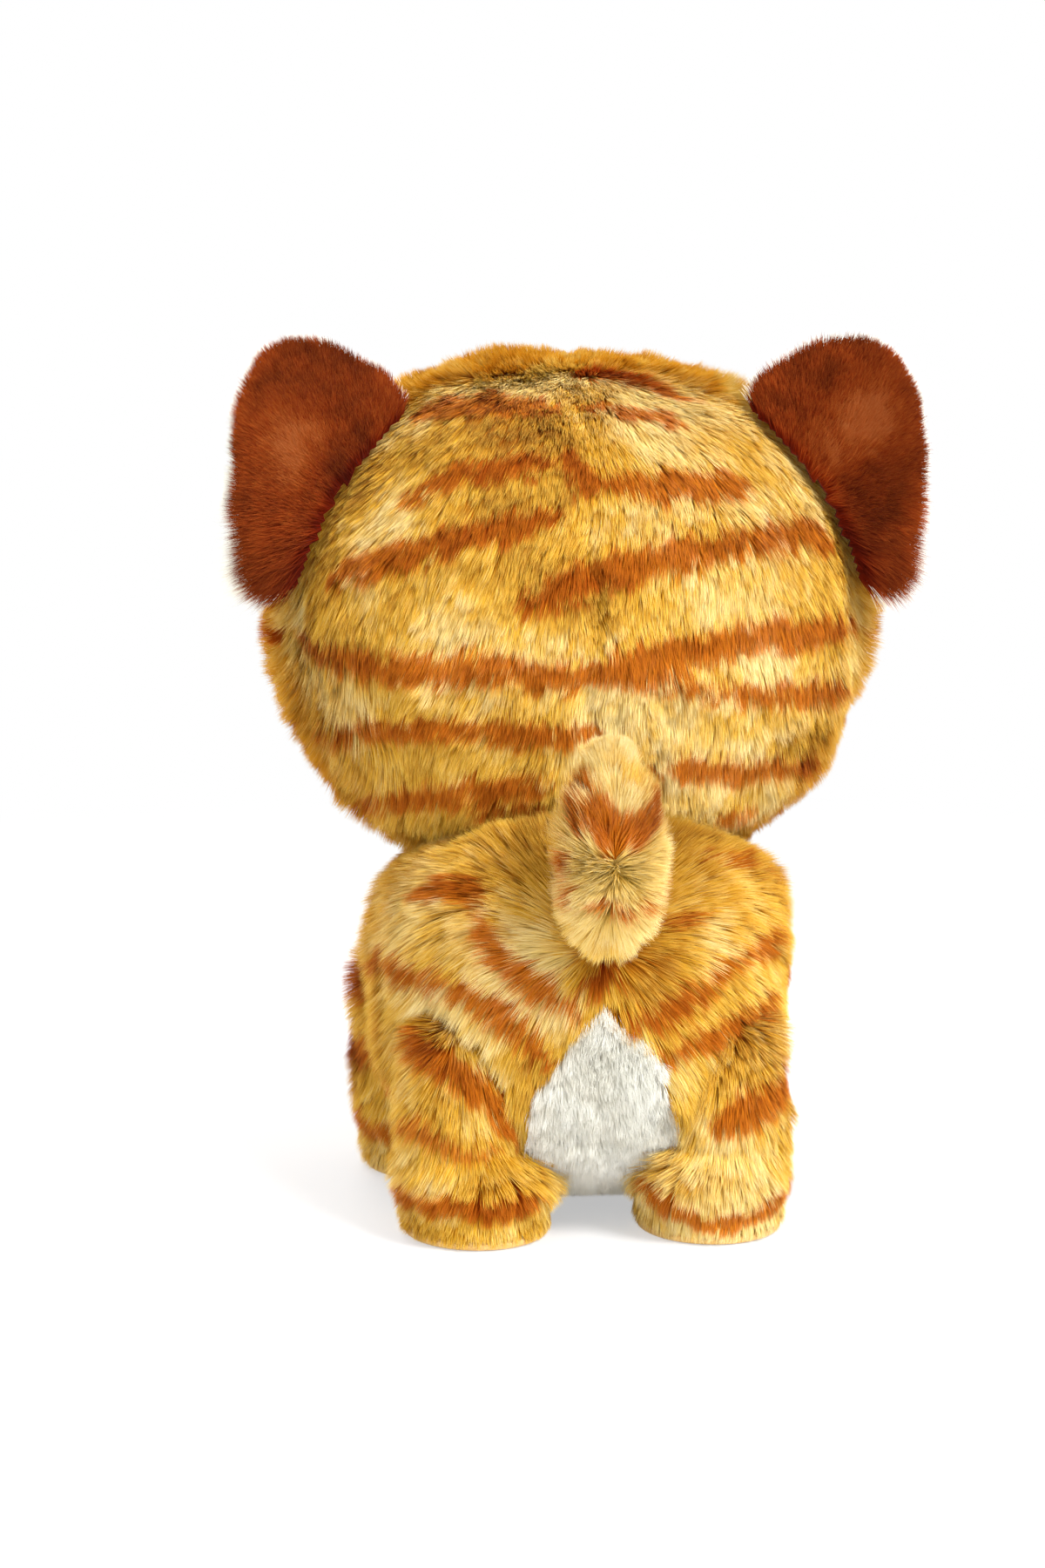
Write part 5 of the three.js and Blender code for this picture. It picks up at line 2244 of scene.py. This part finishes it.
@dataclass
class Legs(Assembly):
    """The four furred sleeves, with their soles and pellet bags.

    Args:
        pile: The pile's length.
        girth: How far it is round a sleeve.
        low: The height of a sleeve's lower edge.
        sole: The sole's outline, as shares of the foot's half widths and heights in millimetres.
        bag_half: A bag's half sizes.
        bag_level: Its middle's height.
    """

    pile: float = 7.8 * MM
    girth: float = 104 * MM
    low: float = 2.7 * MM
    sole: Sequence[tuple[float, float]] = (
        (0.25, 0.0), (0.6, 0.0), (0.86, 0.0), (0.93, 0.1), (0.96, 0.35), (0.975, 0.8), (0.975, 1.5),
        (0.95, 2.1), (0.9, 2.4), (0.5, 2.4),
    )
    bag_half: tuple[float, float, float] = (10 * MM, 12 * MM, 4 * MM)
    bag_level: float = 7 * MM

    def build(self) -> None:
        """Builds the four legs."""
        front = [stripe.mirrored() for stripe in FRONT_LEG_STRIPES]
        stripes = {("rear", Side.LEFT): REAR_LEFT_STRIPES, ("rear", Side.RIGHT): REAR_RIGHT_STRIPES,
                   ("front", Side.LEFT): FRONT_LEG_STRIPES, ("front", Side.RIGHT): front}
        for which, side, leg in self.anatomy.legs():
            name = f"{which}_leg_{side.word}"
            body = f"leg_{which}_{side.word}"
            self.build_sleeve(name, body, leg, stripes[which, side])
            self.build_sole(name, body, leg)
            self.build_bag(name, body, leg)

    def build_sleeve(self, name: str, body: str, leg: LegForm, stripes: Sequence[Stripe]) -> None:
        """Builds one furred sleeve.

        Args:
            name: What its names start with.
            body: The body that it rides on.
            leg: The leg's form.
            stripes: The leg's stripes.
        """
        low, top = self.low, leg.hip[2] + leg.collar
        grid, faces = grid_of_cells(self.cells_along(self.girth), self.cells_along(top - low + 6 * MM), True)
        turn, z = 360 * grid[:, 0], low + (top - low) * grid[:, 1]
        room = self.room(leg, leg.surface(turn, z))
        outer, inner = leg.surface(turn, z, room), leg.surface(turn, z, room + BACKING)

        def around(points: Array) -> Array:
            """Places as seen from above, from the leg's middle line."""
            return points[:, :2] - np.stack(leg.ring(points[:, 2], 0.0)[:2], axis=1)

        def chart(points: Array) -> Array:
            """The places in the layout: round, and up."""
            out = around(points)
            turn = np.arctan2(out[:, 0], out[:, 1]) / (2 * math.pi) % 1.0
            return np.stack([turn, np.clip((points[:, 2] - low) / (top - low), 0, 1)], axis=1)

        def nap(points: Array) -> Array:
            """The way that the pile lies: down, and a little outwards at the foot."""
            out = np.concatenate([unit(around(points)), np.zeros((len(points), 1))], axis=1)
            fan = (1 - smooth(points[:, 2], 6 * MM, 24 * MM))[:, None]
            return np.array([0, 0.05, -1.0]) + 0.15 * fan * out

        def share(points: Array) -> Array:
            """The share of the pile's length: short inside the torso and at the foot."""
            covered = smooth(-self.anatomy.torso.outside(points), 3.5 * MM, 8 * MM)
            return (1 - 0.9 * covered) * (0.5 + 0.5 * smooth(points[:, 2], 5 * MM, 21 * MM))

        def lean(points: Array) -> Array:
            """How far the pile leans: most at the foot."""
            return 68 - 8 * smooth(points[:, 2], 6 * MM, 22 * MM)

        coat = Coat(self.pile, nap, lean=lean, share=share, pale=self.pale, seed=20 + int(leg.hip[0] > 0))
        coat.lay_stripes(stripes, leg, lambda points: self.room(leg, points))
        sheet = Sheet(outer, inner, facing(outer, faces), chart, wraps=True)
        piece = PileBuilder(sheet, coat).build(f"{name}_coat", self.finishes.tabby)
        self.dress(piece, body, f"{name}_sleeve", "tabby_plush", 0.8)

    @staticmethod
    def room(leg: LegForm, points: Array) -> Array:
        """The depth of the pile's room: deeper under the torso's fur, and shallow inside the calf.

        Args:
            leg: The leg's form.
            points: Places, one to a row.

        Returns:
            One depth to each place.
        """
        z = points[:, 2]
        x, _, half, _ = leg.ring(z, 0.0)
        outer_side = np.clip((points[:, 0] - x) / half, -1, 1) * np.sign(leg.hip[0])
        calf = smooth(z, 6 * MM, 18 * MM) * (1 - smooth(z, 34 * MM, 46 * MM))
        return MM * (3.4 - 1.0 * calf + 1.5 * outer_side * calf + 2.6 * smooth(z, 26 * MM, 44 * MM))

    def pale(self, points: Array) -> Array:
        """Paler feet, and painted light that makes the right legs paler and the left ones darker."""
        foot = 1 - smooth(points[:, 2], 8 * MM, 26 * MM)
        # Painted light: the right legs are painted paler, the left ones darker.
        return np.where(points[:, 0] < 0, 0.05 + 0.4 * foot, -0.1 + 0.3 * foot)

    def build_sole(self, name: str, body: str, leg: LegForm) -> None:
        """Builds the sole that closes the foot.

        Args:
            name: What its names start with.
            body: The body that it rides on.
            leg: The leg's form.
        """
        around = 72
        x, y, half_x, half_y = (float(value[0]) for value in leg.ring(leg.foot[2:], 2.6 * MM))
        angle = np.arange(around) * 2 * math.pi / around
        rows = [
            np.stack([x + half_x * share * np.sin(angle), y + half_y * share * np.cos(angle),
                      np.full(around, z * MM)], axis=1)
            for share, z in self.sole
        ]
        faces = ring_faces(len(rows), around)
        piece = solid_piece(f"{name}_sole_suede", np.concatenate(rows), faces, self.finishes.sole)
        self.dress(piece, body, f"{name}_sole", "tabby_plush")

    def build_bag(self, name: str, body: str, leg: LegForm) -> None:
        """Builds the woven bag of pellets in the foot.

        Args:
            name: What its names start with.
            body: The body that it rides on.
            leg: The leg's form.
        """
        middle = np.array([leg.foot[0], leg.foot[1], self.bag_level])
        ways, faces = ball_of_cells(22)
        points = StuffedForm(middle, np.array(self.bag_half), plan=2.6, upper=2.2, lower=2.2).surface(ways)
        bumps = 0.35 * MM * np.abs(lattice_noise(points, 2.2 * MM, 81)) - 0.3 * MM
        points = points + unit(points - middle) * bumps[:, None]
        piece = solid_piece(f"{name}_bag", points, faces, self.finishes.bag)
        self.dress(piece, body, f"{name}_pellet_bag", "pellet_bag", 0.5)


@dataclass
class Tail(Assembly):
    """The furred tail.

    Args:
        pile: The pile's length.
        length: The length of its sleeve, over the tip.
        tip: The length of the round tip.
        girth: How far it is round the sleeve.
    """

    pile: float = 8.0 * MM
    length: float = 66 * MM
    tip: float = 14 * MM
    girth: float = 76 * MM

    def build(self) -> None:
        """Builds the tail's sleeve."""
        tail = self.anatomy.tail
        grid, faces = grid_of_cells(self.cells_along(self.girth), self.cells_along(self.length), True)
        straight = 1 - self.tip / self.length
        over_tip = 1 + 0.97 * (grid[:, 1] - straight) / (1 - straight)
        along = np.where(grid[:, 1] < straight, grid[:, 1] / straight, over_tip)
        room = self.room(along)
        outer = tail.surface(360 * grid[:, 0], along, room)
        inner = tail.surface(360 * grid[:, 0], along, room + BACKING)
        finder = Finder(outer, range(len(outer)))

        def chart(points: Array) -> Array:
            """The places in the layout: round, and along."""
            found = finder.nearest(points)
            centre, _, back = tail.frames(along[found])
            local = points - centre
            turn = np.arctan2(local[:, 0], np.sum(local * back, axis=1)) / (2 * math.pi) % 1.0
            return np.stack([turn, grid[found, 1]], axis=1)

        def nap(points: Array) -> Array:
            """The way that the pile lies: towards the tip, but behind it parts at the middle."""
            found = finder.nearest(points)
            forward = tail.frames(along[found])[1]
            behind = smooth(np.cos(grid[found, 0] * 2 * math.pi), -0.5, 0.5)
            onward = np.clip((along[found] - 0.5) / 0.28, -1, 1)
            way = 1 - behind + behind * onward
            return forward * way[:, None] + np.array([1.0, 0, 0]) * np.sign(points[:, :1]) * 0.15

        coat = Coat(self.pile, nap, lean=54, scatter=0.2, clump=0.4, share=self.share, pale=self.pale,
                    seed=31)
        coat.lay_stripes(TAIL_STRIPES, tail)
        sheet = Sheet(outer, inner, facing(outer, faces), chart, wraps=True)
        piece = PileBuilder(sheet, coat).build("tail_coat", self.finishes.tabby)
        self.dress(piece, "tail", "tail_sleeve", "tabby_plush", 0.8)

    @staticmethod
    def room(along: Array) -> Array:
        """The depth of the pile's room: shallower at the slim root."""
        return TAIL_ROOM * (0.3 + 0.7 * smooth(along, 0.1, 0.6))

    def share(self, points: Array) -> Array:
        """The share of the pile's length: short at the root and at the tip."""
        _, y, z = (points - self.anatomy.tail_root).T
        return (0.6 + 0.4 * smooth(y, 4 * MM, 16 * MM)) * (1 - 0.35 * smooth(z, 32 * MM, 42 * MM))

    def pale(self, points: Array) -> Array:
        """The pale bend and tip."""
        bend = nearness(points, self.anatomy.tail_root + mm(0, 32, 11), 13 * MM)
        return 0.3 + 2.0 * bend + 0.3 * smooth(points[:, 2] - self.anatomy.tail_root[2], 28 * MM, 40 * MM)


@dataclass
class Fillings(Assembly):
    """The fibre filling inside every part.

    Args:
        neck_ball: The radius of the stuffed ball in the neck.
        head_gap: How far from the neck's middle the head's filling starts.
        torso_gap: How far from it the torso's filling starts.
        tail_gap: How far from the tail's pivot the torso's filling starts.
        leg_gap: How far outside the legs it starts.
        bag_top: The height where a leg's filling starts, above the bag of pellets.
    """

    neck_ball: float = 16 * MM
    head_gap: float = 17.2 * MM
    torso_gap: float = 17.5 * MM
    tail_gap: float = 12 * MM
    leg_gap: float = 3.5 * MM
    bag_top: float = 11.8 * MM

    def build(self) -> None:
        """Builds the fillings."""
        self.fill_torso()
        self.fill_head()
        self.fill_neck()
        self.fill_tail()
        for which, side, leg in self.anatomy.legs():
            self.fill_leg(f"{which}_leg_{side.word}", f"leg_{which}_{side.word}", leg)

    def fill_torso(self) -> None:
        """Fills the torso, clear of the head, the neck, the tail and the legs."""
        anatomy = self.anatomy

        def inside(points: Array) -> Array:
            """Says which places the filling can take, with room for the head to nod and the tail to wag."""
            nod = 3 * MM + 0.12 * np.linalg.norm(points[:, 1:] - anatomy.neck[1:], axis=1)
            wag = points - anatomy.tail_root
            tail_room = self.tail_gap + 0.8 * np.clip(wag[:, 1], 0, None)
            off_pivot = np.linalg.norm(wag, axis=1) > tail_room
            off_line = np.hypot(wag[:, 0], wag[:, 2]) > tail_room
            return ((anatomy.torso.outside(points) < -PILE_ROOM - CLOTH)
                    & ~anatomy.in_leg(points, self.leg_gap)
                    & (anatomy.head.outside(points) > nod)
                    & (np.linalg.norm(points - anatomy.neck, axis=1) > self.torso_gap)
                    & (off_pivot & off_line | (wag[:, 1] < -self.tail_gap)))

        piece = self.fill_room("torso_fibre", anatomy.torso.middle, inside, 80 * MM, 34)
        self.dress(piece, "torso", "torso_stuffing", "fibre_filling", 0.8)

    def fill_head(self) -> None:
        """Fills the head, clear of the neck."""
        anatomy = self.anatomy
        panels = HeadPanels(anatomy, self.finishes)

        def inside(points: Array) -> Array:
            """Says which places the filling can take."""
            return ((anatomy.head.outside(points) < -panels.room(points) - CLOTH)
                    & (np.linalg.norm(points - anatomy.neck, axis=1) > self.head_gap))

        piece = self.fill_room("head_fibre", anatomy.head.middle, inside, 90 * MM, 34)
        self.dress(piece, "head", "head_stuffing", "fibre_filling", 0.8)

    def fill_neck(self) -> None:
        """Builds the stuffed ball that the head turns on."""
        neck = self.anatomy.neck

        def inside(points: Array) -> Array:
            """Says which places are in the ball."""
            return np.linalg.norm(points - neck, axis=1) < self.neck_ball

        piece = self.fill_room("neck_fibre", neck, inside, 20 * MM, 18)
        self.dress(piece, "neck", "neck_stuffing", "fibre_filling", 0.8)

    def fill_tail(self) -> None:
        """Fills the tail."""
        straight, tail = 0.8, self.anatomy.tail
        grid, faces = grid_of_cells(36, 34, True)
        over_tip = 1 + 0.96 * (grid[:, 1] - straight) / 0.2
        along = np.where(grid[:, 1] < straight, grid[:, 1] / straight, over_tip)
        depth = Tail.room(along) + CLOTH + 0.3 * MM * lattice_noise(grid, 0.15, 91)
        points = tail.surface(360 * grid[:, 0], along, depth)
        piece = solid_piece("tail_fibre", points, faces, self.finishes.filling)
        self.dress(piece, "tail", "tail_stuffing", "fibre_filling", 0.8)

    def fill_leg(self, name: str, body: str, leg: LegForm) -> None:
        """Fills a leg above its bag of pellets.

        Args:
            name: What its names start with.
            body: The body that it rides on.
            leg: The leg's form.
        """
        def inside(points: Array) -> Array:
            """Says which places the filling can take, with room for the leg to swing."""
            swing = 1.5 * MM * smooth(points[:, 2], 16 * MM, 34 * MM)
            in_cloth = leg.outside(points) < -Legs.room(leg, points) - CLOTH - swing
            return in_cloth & (points[:, 2] > self.bag_top)

        middle = np.array([leg.calf[0], leg.calf[1], 26 * MM])
        piece = self.fill_room(f"{name}_fibre", middle, inside, 40 * MM, 18)
        self.dress(piece, body, f"{name}_stuffing", "fibre_filling", 0.8)


def build_cat(frame: dict) -> None:
    """Builds every piece of the cat.
    """
    anatomy = Anatomy.from_frame(frame)
    finishes = make_finishes()
    for part in (HeadPanels, Ears, Face, Torso, Legs, Tail, Fillings):
        part(anatomy, finishes).build()


def aim_at(thing: Piece, target: Vector) -> None:
    """Turns a camera or light towards a place."""
    thing.rotation_euler = (target - thing.location).to_track_quat("-Z", "Y").to_euler()


def set_camera() -> None:
    """Puts the camera where the photograph was taken from."""
    azimuth, elevation = math.radians(CAMERA_AZIMUTH), math.radians(CAMERA_ELEVATION)
    back = Vector((math.sin(azimuth) * math.cos(elevation), -math.cos(azimuth) * math.cos(elevation),
                   math.sin(elevation)))
    right = Vector((math.cos(azimuth), math.sin(azimuth), 0))
    up = back.cross(right)
    aim = Vector((0, 0, AIM_HEIGHT))
    camera = bpy.data.objects.new("photo_camera", bpy.data.cameras.new("photo_camera"))
    bpy.context.scene.collection.objects.link(camera)
    camera.data.sensor_fit = "HORIZONTAL"
    camera.data.lens = camera.data.sensor_width * FOCAL_PIXELS / PHOTO_WIDTH
    camera.location = aim + back * CAMERA_DISTANCE
    step = CAMERA_DISTANCE / FOCAL_PIXELS
    aside, below = PHOTO_WIDTH / 2 - AIM_PIXEL[0], PHOTO_HEIGHT / 2 - AIM_PIXEL[1]
    aim_at(camera, aim + right * aside * step - up * below * step)
    bpy.context.scene.camera = camera


def directly_seen(start: Shade) -> Shade:
    """Says whether the camera sees a surface, by itself or through gloss or glass.

    Args:
        start: Any value of the node tree.

    Returns:
        1 where it does, and 0 for the light that falls on other things.
    """
    path = start.node("ShaderNodeLightPath")
    rays = (Shade(start.tree, path.socket.node.outputs[name])
            for name in ("Is Camera Ray", "Is Glossy Ray", "Is Transmission Ray"))
    camera, glossy, through = rays
    return (camera + glossy + through).at_most(1.0)


def paper_material() -> Material:
    """Makes the floor's white paper, which keeps the cat's shadow and is plain white further off.

    Returns:
        The material.
    """
    surface = Surface("floor_paper", Finish(roughness=0.9))
    colour = surface.noise(0.5).mix((0.93, 0.93, 0.93), (0.95, 0.95, 0.95))
    material = surface.finish(colour)
    place = surface.place.node("ShaderNodeVectorMath", surface.place, operation="LENGTH", output=1)
    share = directly_seen(surface.start) * (0.5 + place.between(0.1, 0.6) * 0.5)
    glow = surface.start.node("ShaderNodeEmission", (1.0, 1.0, 1.0, 1.0), 1.0)
    both = surface.start.node("ShaderNodeMixShader", share, surface.start, glow)
    output = surface.tree.nodes["Material Output"]
    surface.tree.links.new(both.socket, output.inputs["Surface"])
    return material


def set_stage() -> None:
    """Makes the floor, the white surroundings and the soft lights."""
    scene = bpy.context.scene
    scene.view_settings.view_transform = "Standard"
    bpy.ops.mesh.primitive_plane_add(size=8)
    floor = bpy.context.object
    floor.name = "floor"
    floor.data.materials.append(paper_material())
    world = bpy.data.worlds.new("surroundings")
    scene.world = world
    world.use_nodes = True
    sky = world.node_tree.nodes["Background"]
    seen = directly_seen(Shade(world.node_tree, sky.outputs[0]))
    strength = seen * (1 - AMBIENT) + AMBIENT
    sky.inputs["Color"].default_value = (1, 1, 1, 1)
    world.node_tree.links.new(strength.socket, sky.inputs["Strength"])
    for name, place, size, power in LIGHTS:
        light = bpy.data.objects.new(name, bpy.data.lights.new(name, "AREA"))
        scene.collection.objects.link(light)
        light.data.size = size
        light.data.energy = power
        light.location = place
        aim_at(light, Vector((0, 0, 0.1)))


def main() -> None:
    """Builds the whole scene."""
    logging.basicConfig(level=logging.INFO, format="%(name)s: %(message)s")
    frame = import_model()
    set_camera()
    set_stage()
    build_cat(frame)


if __name__ == "__main__":
    main()
